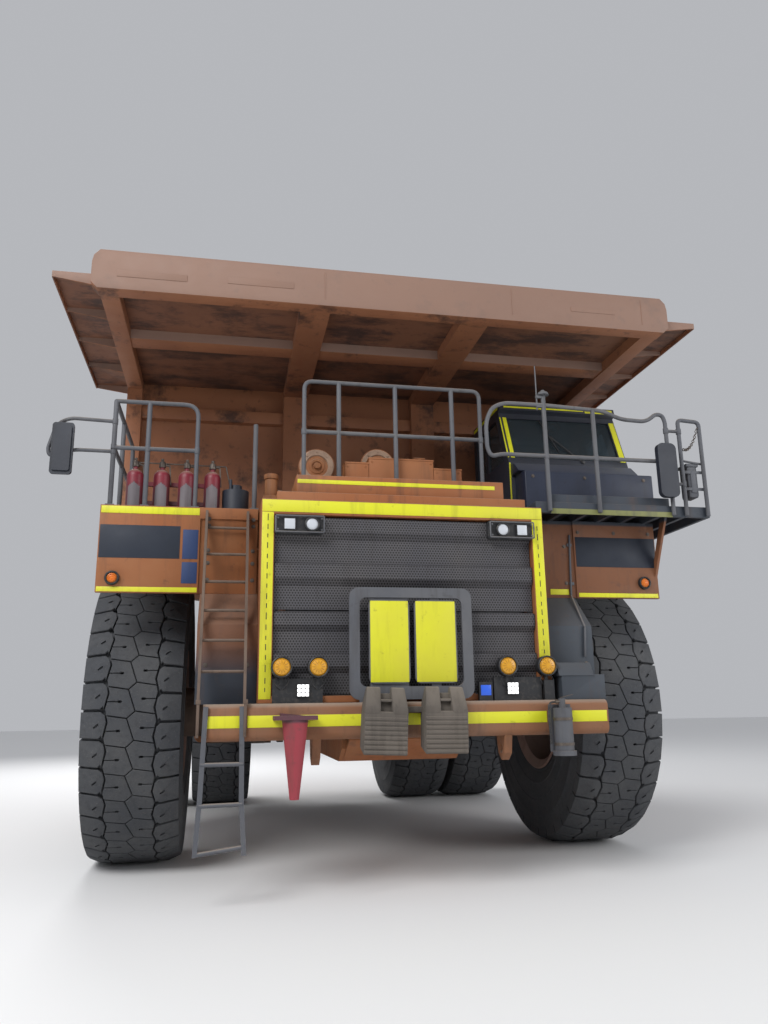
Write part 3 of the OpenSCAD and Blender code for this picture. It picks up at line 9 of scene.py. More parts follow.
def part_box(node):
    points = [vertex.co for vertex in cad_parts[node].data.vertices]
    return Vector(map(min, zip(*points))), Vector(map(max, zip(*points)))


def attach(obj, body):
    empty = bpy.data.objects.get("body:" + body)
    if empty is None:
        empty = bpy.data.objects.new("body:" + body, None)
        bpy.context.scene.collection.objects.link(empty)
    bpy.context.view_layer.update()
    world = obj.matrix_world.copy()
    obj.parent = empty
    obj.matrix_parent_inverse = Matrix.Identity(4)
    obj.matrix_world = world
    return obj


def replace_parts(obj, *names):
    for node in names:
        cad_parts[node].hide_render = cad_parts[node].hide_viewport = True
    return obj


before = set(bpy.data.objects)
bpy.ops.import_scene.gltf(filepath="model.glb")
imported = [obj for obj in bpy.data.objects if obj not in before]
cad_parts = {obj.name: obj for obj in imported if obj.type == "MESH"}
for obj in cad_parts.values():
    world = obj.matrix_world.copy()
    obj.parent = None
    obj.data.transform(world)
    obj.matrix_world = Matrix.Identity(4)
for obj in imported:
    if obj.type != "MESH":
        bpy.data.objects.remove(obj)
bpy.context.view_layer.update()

# Row frame, in metres: front -Y, the cab's side +X, up +Z
FRONT_AXLE_Y = -2.785
REAR_AXLE_Y = 2.395
AXLE_Z = 1.5
TYRE_R = 1.5
RIM_R = 0.648
FRONT_X = 2.44
TWIN_X = (1.62, 2.61)
LUGS = 36
SIDES = (("left", 1), ("right", -1))
BUMPER_TOP = 1.564
GUARD_HALF = 1.332
LONE_POST_X = -(GUARD_HALF + 0.05)
GUARD_TOP = 3.364
FENDER_Y = -4.557
RIGHT_TOP = 3.39
BOTTLE_R = 0.078
BOTTLE_Y = FENDER_Y + 0.19
BOTTLE_XS = (-2.52, -2.27, -2.035, -1.79)
HOOD_TOP = 3.6443


def srgb(r, g, b):
    """A colour read as 0 to 255 screen values, as the linear colour that a shader takes."""
    return tuple((c / 255 / 12.92 if c <= 10 else ((c / 255 + 0.055) / 1.055) ** 2.4) for c in (r, g, b)) + (1.0,)


# Finishes: all colours are 0 to 255 screen values

DUST = (150, 138, 125)
RUNS_DOWN = (3, 3, 0.35)


class Finish:
    """A procedural material on Object coordinates, built up layer by layer."""

    def __init__(self, name, colour, rough=0.6, metal=0.0):
        self.mat = bpy.data.materials.new(name)
        self.mat.use_nodes = True
        self.tree = self.mat.node_tree
        self.shader = self.tree.nodes["Principled BSDF"]
        self.place = self.node("ShaderNodeTexCoord", "Object")
        self.colour = srgb(*colour)
        self.surface("Base Color", self.colour)
        self.surface("Metallic", metal)
        self.surface("Roughness", rough)

    def feed(self, socket, value):
        """Links a socket to another one, or sets it to a constant."""
        if isinstance(value, bpy.types.NodeSocket):
            self.tree.links.new(value, socket)
        else:
            socket.default_value = value

    def node(self, kind, output, sockets=(), **settings):
        made = self.tree.nodes.new(kind)
        for key, value in settings.items():
            setattr(made, key, value)
        for key, value in dict(sockets).items():
            self.feed(made.inputs[key], value)
        return made.outputs[output]

    def surface(self, name, value):
        self.feed(self.shader.inputs[name], value)

    def noise(self, scale, detail=4.0, stretch=(1, 1, 1), rough=0.6):
        turn = self.node("ShaderNodeMapping", "Vector", {"Vector": self.place, "Scale": stretch})
        grain = {"Vector": turn, "Scale": scale, "Detail": detail, "Roughness": rough}
        return self.node("ShaderNodeTexNoise", "Fac", grain)

    def band(self, value, low, high):
        """0 below low and 1 above high."""
        return self.node("ShaderNodeMapRange", "Result", {"Value": value, "From Min": low, "From Max": high})

    def math(self, kind, a, b=0.0):
        return self.node("ShaderNodeMath", "Value", {0: a, 1: b}, operation=kind)

    def times(self, a, b):
        return self.math("MULTIPLY", a, b)

    def along(self, axis, vector=None):
        return self.node("ShaderNodeSeparateXYZ", axis, {"Vector": vector or self.place})

    def facing(self, axis):
        return self.along(axis, self.node("ShaderNodeNewGeometry", "Normal"))

    def layer(self, mask, colour):
        self.colour = self.node("ShaderNodeMix", 2, {0: mask, 6: self.colour, 7: srgb(*colour)}, data_type="RGBA")
        self.surface("Base Color", self.colour)

    def patches(self, colour, amount, scale, detail, low, high, stretch=(1, 1, 1), rough=0.6):
        """A colour where a noise rises from low to high."""
        spots = self.band(self.noise(scale, detail, stretch, rough), low, high)
        self.layer(self.times(spots, amount), colour)

    def dusted(self, colour, amount, low=0.35, high=0.9):
        """A colour on what faces up."""
        self.layer(self.times(self.band(self.facing("Z"), low, high), amount), colour)

    def relief(self, scale, detail, strength, distance):
        bump = {"Height": self.noise(scale, detail), "Strength": strength, "Distance": distance}
        self.surface("Normal", self.node("ShaderNodeBump", "Normal", bump))

    def gloss(self, low, high, scale=5):
        ramp = {"Value": self.noise(scale, 4), "To Min": low, "To Max": high}
        self.surface("Roughness", self.node("ShaderNodeMapRange", "Result", ramp))

    def worn(self, rough):
        self.gloss(rough - 0.1, rough + 0.18)
        self.relief(45, 4, 0.12, 0.004)
        return self.mat


def worn_paint(name, colour, faded, grime, dust=DUST, rough=0.62, streaks=0.6, dusting=0.7):
    """Site paint: faded patches, streaks that run down, dust on what faces up, small chips."""
    f = Finish(name, colour, rough)
    f.patches(faded, 0.8, 0.9, 5, 0.42, 0.68)
    f.patches(grime, streaks, 3.0, 6, 0.52, 0.75, RUNS_DOWN)
    f.patches(grime, 0.35, 14, 5, 0.62, 0.72)
    f.dusted(dust, dusting)
    f.patches(faded, 0.5, 60, 3, 0.7, 0.74)
    return f.worn(rough)


body_paint = worn_paint("faded_orange_paint", (138, 80, 40), (146, 98, 62), (76, 50, 38))
bumper_paint = worn_paint("dusty_bumper_paint", (126, 84, 56), (120, 94, 78), (70, 52, 42), DUST, 0.7)
deck_tape_paint = worn_paint("dusty_deck_tape", (112, 114, 66), (132, 132, 84), (62, 64, 60), (130, 128, 110), 0.6)
lip_paint = worn_paint("dusty_lip_paint", (140, 112, 102), (152, 128, 118), (96, 70, 60), (160, 146, 136), 0.7)
yellow_paint = worn_paint("yellow_guard_paint", (206, 206, 26), (198, 190, 50), (104, 92, 32), (176, 168, 100),
                          0.5, 0.35, 0.4)
rail_paint = worn_paint("grey_rail_paint", (78, 80, 86), (96, 96, 98), (52, 48, 48), DUST, 0.6)
dark_paint = worn_paint("dark_cab_paint", (30, 34, 44), (44, 48, 58), (20, 20, 22), (92, 90, 90), 0.5, 0.4, 0.5)
blue_paint = worn_paint("blue_black_paint", (26, 34, 54), (42, 50, 70), (20, 22, 30), (92, 94, 98), 0.5, 0.4, 0.55)
chock_paint = worn_paint("chock_rubber", (86, 80, 74), (108, 100, 92), (56, 50, 46), (136, 126, 114), 0.9)
steel_paint = worn_paint("grimy_steel", (88, 72, 62), (110, 92, 78), (46, 38, 34), (124, 112, 102), 0.7)
band_paint = worn_paint("blank_dark_band", (22, 30, 44), (30, 38, 52), (24, 24, 28), (80, 80, 82), 0.6, 0.3, 0.15)
board_blue = worn_paint("blank_blue_board", (24, 46, 90), (44, 66, 106), (30, 36, 52), (110, 108, 106), 0.6, 0.3, 0.3)
label_paint = worn_paint("blank_label", (98, 92, 96), (116, 110, 112), (70, 52, 54), DUST, 0.6)
cap_paint = worn_paint("dusty_cap_rings", (142, 112, 90), (156, 132, 114), (96, 70, 54), DUST, 0.7)


def two_tone(name, low_colour, high_colour, height, blend, rough=0.62, side_colour=None, dusting=0.7):
    """Paint that changes at a height, and on the cab side where side_colour is given, with the same wear."""
    f = Finish(name, low_colour, rough)
    f.layer(f.band(f.along("Z"), height - blend, height + blend), high_colour)
    if side_colour:
        f.layer(f.band(f.along("X"), 0.0, 0.5), side_colour)
    f.patches((76, 58, 50), 0.6, 3.0, 6, 0.52, 0.75, RUNS_DOWN)
    f.patches((62, 56, 54), 0.35, 12, 5, 0.6, 0.72)
    f.dusted(DUST, dusting)
    return f.worn(rough)


cab_deck_paint = two_tone("deck_and_fender_paint", (116, 74, 48), (48, 54, 63), 3.33, 0.01)
# Lower panels: painted shade. They are dark grey all over on the cab side. On the other side they are dark at the
# bottom and blend to brown above 1.95 m.
lower_panel_painted_shade = two_tone("dusty_lower_panels_painted_shade", (42, 48, 58), (108, 70, 48), 1.95, 0.14,
                             side_colour=(56, 62, 70), dusting=0.15)
bottle_paint = two_tone("dusty_bottles", (84, 34, 42), (116, 26, 42), 3.60, 0.08, 0.45)
cone_paint = two_tone("dusty_cone", (146, 52, 62), (84, 48, 58), 1.408, 0.008, dusting=0.85)


def tyre_rubber():
    f = Finish("dusty_tyre_rubber", (64, 66, 70), 0.9)
    f.patches((84, 84, 84), 0.7, 1.6, 5, 0.4, 0.7)
    f.patches((44, 45, 47), 0.5, 22, 5, 0.5, 0.75)
    f.patches((118, 115, 110), 0.4, 90, 3, 0.6, 0.72)
    f.relief(60, 5, 0.25, 0.004)
    return f.mat


def canopy_paint(name, lit_and_dusty_front_colour=None):
    """Brown paint with large scorched patches. Where a front colour is given, it adds pale dust and painted light on
    what faces forwards, and painted shade under the canopy.
    """
    f = Finish(name, (146, 96, 66), 0.7)
    f.patches((124, 78, 54), 0.7, 0.8, 5, 0.4, 0.66)
    f.patches((44, 32, 30), 0.8, 1.7, 8, 0.55, 0.66, rough=0.7)
    f.patches((70, 46, 38), 0.5, 9, 6, 0.6, 0.7)
    f.dusted((160, 140, 124), 0.8, 0.4, 0.9)
    scrapes = f.times(f.band(f.noise(1.1, 7, (5.0, 0.35, 1.0)), 0.5, 0.62), f.band(f.facing("Z"), 0.6, 0.95))
    f.layer(f.times(scrapes, 0.6), (116, 106, 100))
    if lit_and_dusty_front_colour:
        # Paler on what faces forwards: pale dust on the lip, and painted light on every forward face.
        f.layer(f.times(f.band(f.times(f.facing("Y"), -1.0), 0.6, 0.95), 0.85), lit_and_dusty_front_colour)
        # Darker on what faces down above 5.47 m, under the canopy: painted shade, with darker blotches in it.
        painted_shade_underside = f.times(f.band(f.facing("Z"), -0.6, -0.9), f.band(f.along("Z"), 5.47, 5.495))
        f.layer(f.times(painted_shade_underside, 0.5), (78, 54, 46))
        underside_blotches = f.band(f.noise(1.3, 9, (1.0, 2.4, 1.0), 0.72), 0.47, 0.60)
        f.layer(f.times(f.times(painted_shade_underside, underside_blotches), 0.75), (40, 31, 31))
    f.gloss(0.55, 0.85)
    f.relief(30, 5, 0.15, 0.005)
    return f.mat


def plain(name, colour, rough, metal=0.0, speck=0.35):
    f = Finish(name, colour, rough, metal)
    f.patches(DUST, speck, 30, 5, 0.5, 0.75)
    f.relief(80, 3, 0.08, 0.002)
    return f.mat


def glow(name, colour, strength):
    f = Finish(name, colour, 0.3)
    f.patches((180, 170, 150), 0.2, 40, 3, 0.6, 0.8)
    f.surface("Emission Color", srgb(*colour))
    f.surface("Emission Strength", strength)
    return f.mat


def clear_glass():
    f = Finish("tinted_cab_glass", (104, 118, 126), 0.06)
    f.surface("Transmission Weight", 0.85)
    f.surface("IOR", 1.3)
    f.gloss(0.04, 0.12, 6)
    return f.mat


def perforated_sheet():
    """Grey sheet with rows of round holes, staggered, and dust caught between them."""
    f = Finish("perforated_grille", (72, 71, 76), 0.65)
    f.patches((88, 84, 82), 0.6, 1.6, 5, 0.4, 0.7)
    f.patches((56, 52, 52), 0.5, 7, 5, 0.55, 0.75, (2, 1, 0.5))
    pitch, row_ratio = 0.026, 1.732
    spread = ((f.along("X"), pitch), (f.along("Z"), pitch * row_ratio))
    from_hole = []
    for shift in (0.0, 0.5):
        dx, dz = (f.math("PINGPONG", f.math("ADD", f.math("DIVIDE", value, step), shift), 0.5)
                  for value, step in spread)
        from_hole.append(f.math("SQRT", f.math("ADD", f.times(dx, dx), f.times(f.times(dz, dz), 3.0))))
    f.layer(f.band(f.math("MINIMUM", *from_hole), 0.36, 0.28), (22, 20, 20))
    return f.mat


rubber = tyre_rubber()
scorched = canopy_paint("scorched_bed_paint")
canopy_finish = canopy_paint("dusty_canopy_paint_painted_light_and_shade", (128, 104, 92))
grille_sheet = perforated_sheet()
bolt_steel = plain("dull_bolt_steel", (92, 84, 78), 0.5, 0.6)
chrome_rod = plain("hoist_chrome", (200, 200, 204), 0.18, 1.0, 0.1)
black_plastic = plain("black_plastic", (30, 31, 34), 0.5, 0.0, 0.12)
seat_cloth = plain("seat_cloth", (40, 40, 46), 0.9)
rubber_hose = plain("black_hose", (38, 38, 40), 0.6)
amber_lens = glow("amber_lens", (202, 146, 34), 0.03)
orange_lens = glow("orange_lens", (206, 112, 38), 0.05)
amber_rib = glow("amber_rib", (150, 98, 22), 0.0)
white_lens = glow("white_lens", (186, 190, 196), 0.06)
led_lens = glow("bright_led", (250, 250, 250), 1.3)
blue_lens = glow("blue_lens", (40, 84, 190), 0.4)
glass = clear_glass()


# Mesh helpers

TINY = 1e-6
FORWARDS = (0, -1, 0)


def rounded(bm, edges, offset, **more):
    return bmesh.ops.bevel(bm, geom=edges, offset=offset, segments=2, profile=0.5, affect="EDGES", material=-1,
                           **more)


def slab(bm, low, high, edge=0.004):
    """A box with rounded edges."""
    low, high = Vector(low), Vector(high)
    made = bmesh.ops.create_cube(bm, size=1.0)["verts"]
    size = high - low
    bmesh.ops.scale(bm, vec=size, verts=made)
    bmesh.ops.translate(bm, vec=(low + high) / 2, verts=made)
    if edge:
        rounded(bm, list({e for v in made for e in v.link_edges}), min(edge, min(size) * 0.4))


def drum(bm, start, end, radius, radius_end=None, edge=0.004, sides=32):
    """A round bar or cone frustum from start to end with softened rims."""
    start, end = Vector(start), Vector(end)
    run = end - start
    made = bmesh.ops.create_cone(bm, cap_ends=True, cap_tris=False, segments=sides, radius1=radius,
                                 radius2=radius if radius_end is None else radius_end, depth=run.length)["verts"]
    if edge:
        rims = [e for e in {e for v in made for e in v.link_edges} if max(len(f.verts) for f in e.link_faces) > 4]
        out = rounded(bm, rims, min(edge, run.length * 0.4))
        made = list({v for v in made if v.is_valid} | set(out["verts"]))
    turn = Vector((0, 0, 1)).rotation_difference(run.normalized()).to_matrix()
    bmesh.ops.rotate(bm, verts=made, cent=(0, 0, 0), matrix=turn)
    bmesh.ops.translate(bm, verts=made, vec=(start + end) / 2)


def joined(bm, part):
    """Adds a part to a mesh in the making."""
    mesh = bpy.data.meshes.new("part")
    part.to_mesh(mesh)
    part.free()
    bm.from_mesh(mesh)
    bpy.data.meshes.remove(mesh)


def turned(bm, profile, centre, axis="X", steps=48):
    """A profile of (along, radius) points spun about an axis through centre, and closed off that axis."""
    part = bmesh.new()
    verts = [part.verts.new((a, 0, r)) for a, r in profile]
    pairs = list(zip(verts, verts[1:]))
    if (verts[0].co - verts[-1].co).length > TINY and min(profile[0][1], profile[-1][1]) > TINY:
        pairs.append((verts[-1], verts[0]))
    edges = [part.edges.new(pair) for pair in pairs]
    bmesh.ops.spin(part, geom=verts + edges, cent=(0, 0, 0), axis=(1, 0, 0), dvec=(0, 0, 0),
                   angle=2 * math.pi, steps=steps, use_merge=True, use_duplicate=False)
    bmesh.ops.remove_doubles(part, verts=part.verts, dist=1e-5)
    bmesh.ops.recalc_face_normals(part, faces=part.faces)
    if axis != "X":
        turn = (math.pi / 2, 3, "Z") if axis == "Y" else (-math.pi / 2, 3, "Y")
        bmesh.ops.rotate(part, verts=part.verts, cent=(0, 0, 0), matrix=Matrix.Rotation(*turn))
    bmesh.ops.translate(part, verts=part.verts, vec=centre)
    joined(bm, part)


def ring_profile(radius, thick, count):
    """The profile of a ring of round wire, for turned."""
    angles = [2 * math.pi * i / count for i in range(count)]
    return [(thick * math.cos(a), radius + thick * math.sin(a)) for a in angles]


def bolt(bm, place, axis, radius=0.016, tall=0.012):
    """A hexagonal bolt head on a washer, standing off a face along axis."""
    place, axis = Vector(place), Vector(axis).normalized()
    drum(bm, place, place + axis * 0.003, radius * 1.5, edge=0, sides=16)
    drum(bm, place + axis * 0.003, place + axis * tall, radius, edge=0, sides=6)


def piece(name, bm, finish, body="chassis", smooth=True):
    """Makes the mesh an object at the origin that rides on a body."""
    mesh = bpy.data.meshes.new(name)
    bm.to_mesh(mesh)
    bm.free()
    obj = bpy.data.objects.new(name, mesh)
    bpy.context.scene.collection.objects.link(obj)
    mesh.materials.append(finish)
    if smooth:
        mesh.shade_smooth()
        mesh.set_sharp_from_angle(angle=math.radians(32))
    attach(obj, body)
    return obj


def softened(node, finish, slot, edge, body="chassis"):
    """A copy of a CAD node with its sharp edges rounded off, which stands for that node."""
    bm = bmesh.new()
    bm.from_mesh(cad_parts[node].data)
    bmesh.ops.remove_doubles(bm, verts=bm.verts, dist=2e-5)
    bmesh.ops.dissolve_limit(bm, angle_limit=math.radians(0.6), verts=bm.verts, edges=bm.edges,
                             use_dissolve_boundaries=False)
    sharp = [e for e in bm.edges if len(e.link_faces) == 2 and e.calc_face_angle(0) > math.radians(28)]
    rounded(bm, sharp, edge, clamp_overlap=True)
    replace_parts(piece(node + "_soft", bm, finish, body), node)


# Tyres: a turned carcass with four rows of blocks parted by thin grooves

GROOVE = 0.055
PITCH = 2 * math.pi * TYRE_R / LUGS
EDGE_W = 0.445
# Nodes of the long groove beside a shoulder row: distance from the middle, share of a pitch
ZIG = ((0.235, 0.15), (0.205, 0.70))
MID_W = 0.035


def zig(s):
    """Distance of the long groove from the middle, at s pitches along the tread."""
    s = s % 1.0
    (wide, s0), (near, s1) = ZIG
    if s0 <= s <= s1:
        return wide + (near - wide) * (s - s0) / (s1 - s0)
    t = (s - s1) % 1.0 / (1.0 - s1 + s0)
    return near + (wide - near) * t


def zig_nodes(low, high):
    """The nodes of the long groove between low and high, in rising order."""
    found = [(s + n, w) for n in range(-3, 4) for w, s in ZIG if low < s + n < high]
    return [(-w, s) for s, w in sorted(found)]


def drawn_in(points, gaps):
    """Moves each edge of a counterclockwise outline inwards by its own gap."""
    lines = []
    for i, point in enumerate(points):
        a, b = Vector(point), Vector(points[(i + 1) % len(points)])
        d = (b - a).normalized()
        lines.append((a + Vector((-d.y, d.x)) * gaps[i], d))
    out = []
    for i in range(len(lines)):
        (p, d), (q, e) = lines[i - 1], lines[i]
        cross = d.x * e.y - d.y * e.x
        if abs(cross) < 1e-4:
            out.append(Vector(q))
        else:
            out.append(p + d * (((q.x - p.x) * e.y - (q.y - p.y) * e.x) / cross))
    return out


def corner_cut(points, index, size):
    """Replaces one corner of an outline by a short slanted edge."""
    here, back, ahead = points[index], points[index - 1], points[(index + 1) % len(points)]
    cut = [here + (back - here).normalized() * size, here + (ahead - here).normalized() * size]
    return points[:index] + cut + points[index + 1:]


def shoulder_outline(start):
    low, high = start, start + 1.0
    nodes = zig_nodes(low, high)
    pts = [(-EDGE_W, low), (-zig(low), low)] + nodes + [(-zig(high), high), (-EDGE_W, high)]
    gaps = [0.012] + [0.008] * (len(nodes) + 1) + [0.012, 0.0]
    pts = drawn_in([(w, s * PITCH) for w, s in pts], gaps)
    last = len(pts) - 2
    return corner_cut(corner_cut(pts, last, 0.03), 1, 0.03)


def centre_outline():
    right = [(-MID_W, -1.18), (MID_W, -0.93), (-MID_W, -0.18)]
    nodes = list(reversed(zig_nodes(-1.07, -0.07)))
    pts = [(-zig(-1.07), -1.07)] + right + [(-zig(-0.07), -0.07)] + nodes
    gaps = [0.005, 0.0045, 0.0045, 0.005] + [0.007] * (len(nodes) + 1)
    pts = drawn_in([(w, s * PITCH) for w, s in pts], gaps)
    # A sipe from the long groove to the block's middle, with a wider end
    s = -0.6 * PITCH
    edge = next(i for i in range(len(pts) - 1, 0, -1) if pts[i].y < s <= pts[i - 1].y and pts[i].x < -0.1)
    a, b = pts[edge - 1], pts[edge]
    w = a.x + (b.x - a.x) * (s - a.y) / (b.y - a.y)
    sipe = [(w, 0.004), (-0.125, 0.004), (-0.119, 0.011), (-0.092, 0.011), (-0.085, 0), (-0.092, -0.011),
            (-0.119, -0.011), (-0.125, -0.004), (w, -0.004)]
    return pts[:edge] + [Vector((x, s + y)) for x, y in sipe] + pts[edge:]


def tread_block(bm, outline, tall, slit):
    """One block on the flat tread: extruded, with softened rims, and slit where slit gives a direction."""
    base = bm.faces.new([bm.verts.new((p.x, p.y, 0.0)) for p in outline])
    out = bmesh.ops.extrude_face_region(bm, geom=[base])["geom"]
    top = next(g for g in out if isinstance(g, bmesh.types.BMFace))
    bmesh.ops.translate(bm, verts=list(top.verts), vec=(0, 0, tall - 0.004))
    bmesh.ops.inset_individual(bm, faces=[top], thickness=0.006, depth=0.004)
    if slit is None:
        return
    bmesh.ops.inset_individual(bm, faces=[top], thickness=0.03, depth=0.0)
    ring = list(top.verts)
    mid = sum((v.co for v in ring), Vector()) / len(ring)
    for v in ring:
        a = math.atan2(v.co.y - mid.y, v.co.x - mid.x)
        x, y = 0.034 * math.cos(a), 0.011 * math.sin(a)
        v.co.x = mid.x + x * math.cos(slit) - y * math.sin(slit)
        v.co.y = mid.y + x * math.sin(slit) + y * math.cos(slit)
    pit = bmesh.ops.extrude_discrete_faces(bm, faces=[top])["faces"][0]
    bmesh.ops.translate(bm, verts=list(pit.verts), vec=(0, 0, -0.018))


def tread(bm):
    """One pitch of the tread, wrapped round the axle and repeated."""
    centre = centre_outline()
    for turned_round, shoulder_start in ((False, 0.1), (True, 0.2)):
        for outline, slit in ((centre, None), (shoulder_outline(shoulder_start), 0.7)):
            if turned_round:
                outline = [Vector((-p.x, -p.y - 0.11 * PITCH)) for p in outline]
            tread_block(bm, outline, GROOVE if slit is None else GROOVE - 0.003, slit)
    for v in bm.verts:
        w, s, h = v.co
        fall = max(0.0, abs(w) - 0.34)
        r = TYRE_R - GROOVE + h - 5 * fall * fall
        if h < 1e-6 and abs(w) > EDGE_W - 0.01:
            r, w = 1.34, math.copysign(0.441, w)
        a = s / TYRE_R
        v.co = (w, r * math.sin(a), r * math.cos(a))
    bmesh.ops.spin(bm, geom=list(bm.verts) + list(bm.edges) + list(bm.faces), cent=(0, 0, 0), axis=(1, 0, 0),
                   dvec=(0, 0, 0), angle=2 * math.pi * (LUGS - 1) / LUGS, steps=LUGS - 1, use_duplicate=True)
    bmesh.ops.recalc_face_normals(bm, faces=bm.faces)


def carcass(bm):
    r0 = RIM_R + 0.001
    low = TYRE_R - GROOVE
    side = [(0.368, r0), (0.382, r0 + 0.05), (0.394, r0 + 0.07), (0.396, r0 + 0.085), (0.392, r0 + 0.09),
            (0.40, r0 + 0.1), (0.436, r0 + 0.2), (0.445, r0 + 0.206), (0.449, r0 + 0.222), (0.443, r0 + 0.228),
            (0.455, r0 + 0.32), (0.458, r0 + 0.38), (0.453, r0 + 0.384), (0.453, r0 + 0.40), (0.459, r0 + 0.404),
            (0.459, r0 + 0.43), (0.454, 1.19), (0.459, 1.2), (0.459, 1.225), (0.452, 1.235), (0.446, 1.30),
            (0.438, 1.36), (0.42, low - 0.04), (0.37, low - 0.008), (0.30, low + 0.0)]
    inner = [(0.1, 1.34), (0.30, 1.34), (0.37, 1.27), (0.372, 1.0), (0.31, r0 + 0.03)]
    ring = side + [(0.0, low + 0.002)] + [(-a, r) for a, r in reversed(side)]
    ring += [(-a, r) for a, r in reversed(inner)] + inner
    turned(bm, ring, (0, 0, 0), steps=96)


def tyre(bm, x, y):
    part = bmesh.new()
    tread(part)
    carcass(part)
    bmesh.ops.translate(part, verts=part.verts, vec=(x, y, AXLE_Z))
    joined(bm, part)


def tyres(end, side_name, side, xs, y, plural=""):
    bm = bmesh.new()
    for x in xs:
        tyre(bm, side * x, y)
    name = f"{end}_{side_name}"
    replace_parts(piece(f"{name}_lugged_tyre{plural}", bm, rubber, f"{name}_wheel{plural}"),
                f"{name}_tyre{plural}")


for side_name, side in SIDES:
    tyres("front", side_name, side, (FRONT_X,), FRONT_AXLE_Y)
    tyres("rear", side_name, side, TWIN_X, REAR_AXLE_Y, "s")


# Finishes of the CAD nodes that stay, and softened copies of the main ones

NODE_FINISHES = (
    (steel_paint, "frame engine_block ladder front_struts rear_struts rear_axle left_knuckle right_knuckle "
                  "left_hoist_barrel right_hoist_barrel"),
    (chrome_rod, "left_hoist_tube right_hoist_tube left_hoist_rod right_hoist_rod"),
    (lip_paint, "front_left_rim front_right_rim rear_left_rims rear_right_rims"),
    (rail_paint, "hanging_ladder extinguisher sign_frame"), (dark_paint, "mirrors cab_door deck_tank"),
    (glass, "cab_glass door_glass"), (black_plastic, "cab_controls lamps"), (body_paint, "belly_guard"),
    (grille_sheet, "grille"), (seat_cloth, "operator_seat"), (bottle_paint, "fire_bottles"),
    (cone_paint, "traffic_cone"),
)
for finish, nodes in NODE_FINISHES:
    for node in nodes.split():
        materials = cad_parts[node].data.materials
        materials.clear()
        materials.append(finish)

# Node, finish, slot, width of the softened edge, body
SOFTENED = (
    ("front_bumper", bumper_paint, "body_paint", 0.008),
    ("radiator_guard", body_paint, "body_paint", 0.006),
    ("hood", body_paint, "body_paint", 0.006),
    ("air_cleaners", body_paint, "body_paint", 0.005),
    ("right_deck", body_paint, "body_paint", 0.005),
    ("cab_deck", cab_deck_paint, "grey_paint", 0.005),
    ("lower_panels", lower_panel_painted_shade, "grey_paint", 0.005),
    ("front_box", blue_paint, "blue_paint", 0.012),
    ("cab_shell", dark_paint, "dark_paint", 0.006),
    ("fuel_tank", body_paint, "body_paint", 0.008),
    ("hydraulic_tank", body_paint, "body_paint", 0.008),
    ("dump_bed", scorched, "body_paint", 0.009, "bed"),
    ("canopy", canopy_finish, "dust_paint", 0.01, "bed"),
)
for row in SOFTENED:
    softened(*row)


# Places on the CAD faces, found by looking along a line at a node

trees = {}


def hit(node, start, way):
    """Where a line first meets a node."""
    if node not in trees:
        bm = bmesh.new()
        bm.from_mesh(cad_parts[node].data)
        trees[node] = BVHTree.FromBMesh(bm)
        bm.free()
    place = trees[node].ray_cast(Vector(start), Vector(way).normalized())[0]
    if place is None:
        raise ValueError(f"{node} isn't met from {start}")
    return place


def front(node, x, z):
    return hit(node, (x, -8, z), (0, 1, 0)).y


def tapes(name, node, finish, slot, rows):
    """Thin plates on the front of a node: rows of low x, high x, low z, high z."""
    bm = bmesh.new()
    for x0, x1, z0, z1 in rows:
        plate(bm, node, x0, x1, z0, z1, 0.003, 0.001)
    piece(name, bm, finish)


def plate(bm, node, x0, x1, z0, z1, thick, edge):
    """A thin plate on the front of a node."""
    y = front(node, (x0 + x1) / 2, (z0 + z1) / 2)
    slab(bm, (x0, y - thick, z0), (x1, y + 0.001, z1), edge)


def strip(bm, a, b, side, wide, thick):
    """A flat strip from a to b, wide along side and thick across it."""
    a, b = Vector(a), Vector(b)
    run = b - a
    side = Vector(side).normalized()
    out = run.normalized().cross(side)
    made = bmesh.ops.create_cube(bm, size=1.0)["verts"]
    turn = Matrix((side * wide, run, out * thick)).transposed()
    for v in made:
        v.co = turn @ v.co + (a + b) / 2


def hose(bm, points, radius, sides=10, steps=6):
    """A bent round hose through the points."""
    pts = [Vector(p) for p in points]
    path = []
    for i in range(len(pts) - 1):
        p0, p1, p2, p3 = pts[max(i - 1, 0)], pts[i], pts[i + 1], pts[min(i + 2, len(pts) - 1)]
        for k in range(steps):
            t = k / steps
            path.append(0.5 * (2 * p1 + (p2 - p0) * t + (2 * p0 - 5 * p1 + 4 * p2 - p3) * t * t
                               + (3 * p1 - p0 - 3 * p2 + p3) * t ** 3))
    path.append(pts[-1])
    turn, last, rings = None, None, []
    for i, p in enumerate(path):
        ahead = (path[min(i + 1, len(path) - 1)] - path[max(i - 1, 0)]).normalized()
        step = (last or Vector((0, 0, 1))).rotation_difference(ahead).to_matrix().to_4x4()
        turn = step if turn is None else step @ turn
        last = ahead
        ring = bmesh.ops.create_circle(bm, segments=sides, radius=radius, cap_ends=i in (0, len(path) - 1),
                                       matrix=Matrix.Translation(p) @ turn)["verts"]
        rings.append(ring)
    for a, b in zip(rings, rings[1:]):
        for i in range(sides):
            bm.faces.new((a[i], a[(i + 1) % sides], b[(i + 1) % sides], b[i]))
    bmesh.ops.recalc_face_normals(bm, faces=list({f for r in rings for v in r for f in v.link_faces}))
    return path


def bent_pipe(bm, points, radius, bend=0.07):
    """A round pipe through the points, with a bend at each corner."""
    pts = [Vector(p) for p in points]
    path = [pts[0]]
    for a, b, c in zip(pts, pts[1:], pts[2:]):
        cut = min(bend, (a - b).length * 0.48, (c - b).length * 0.48)
        start, end = b + (a - b).normalized() * cut, b + (c - b).normalized() * cut
        path += [(1 - t) ** 2 * start + 2 * t * (1 - t) * b + t * t * end for t in (k / 6 for k in range(7))]
    hose(bm, path + [pts[-1]], radius, 16, 1)


# Handrails: bent pipes, posts and base plates, in the places of the CAD rails

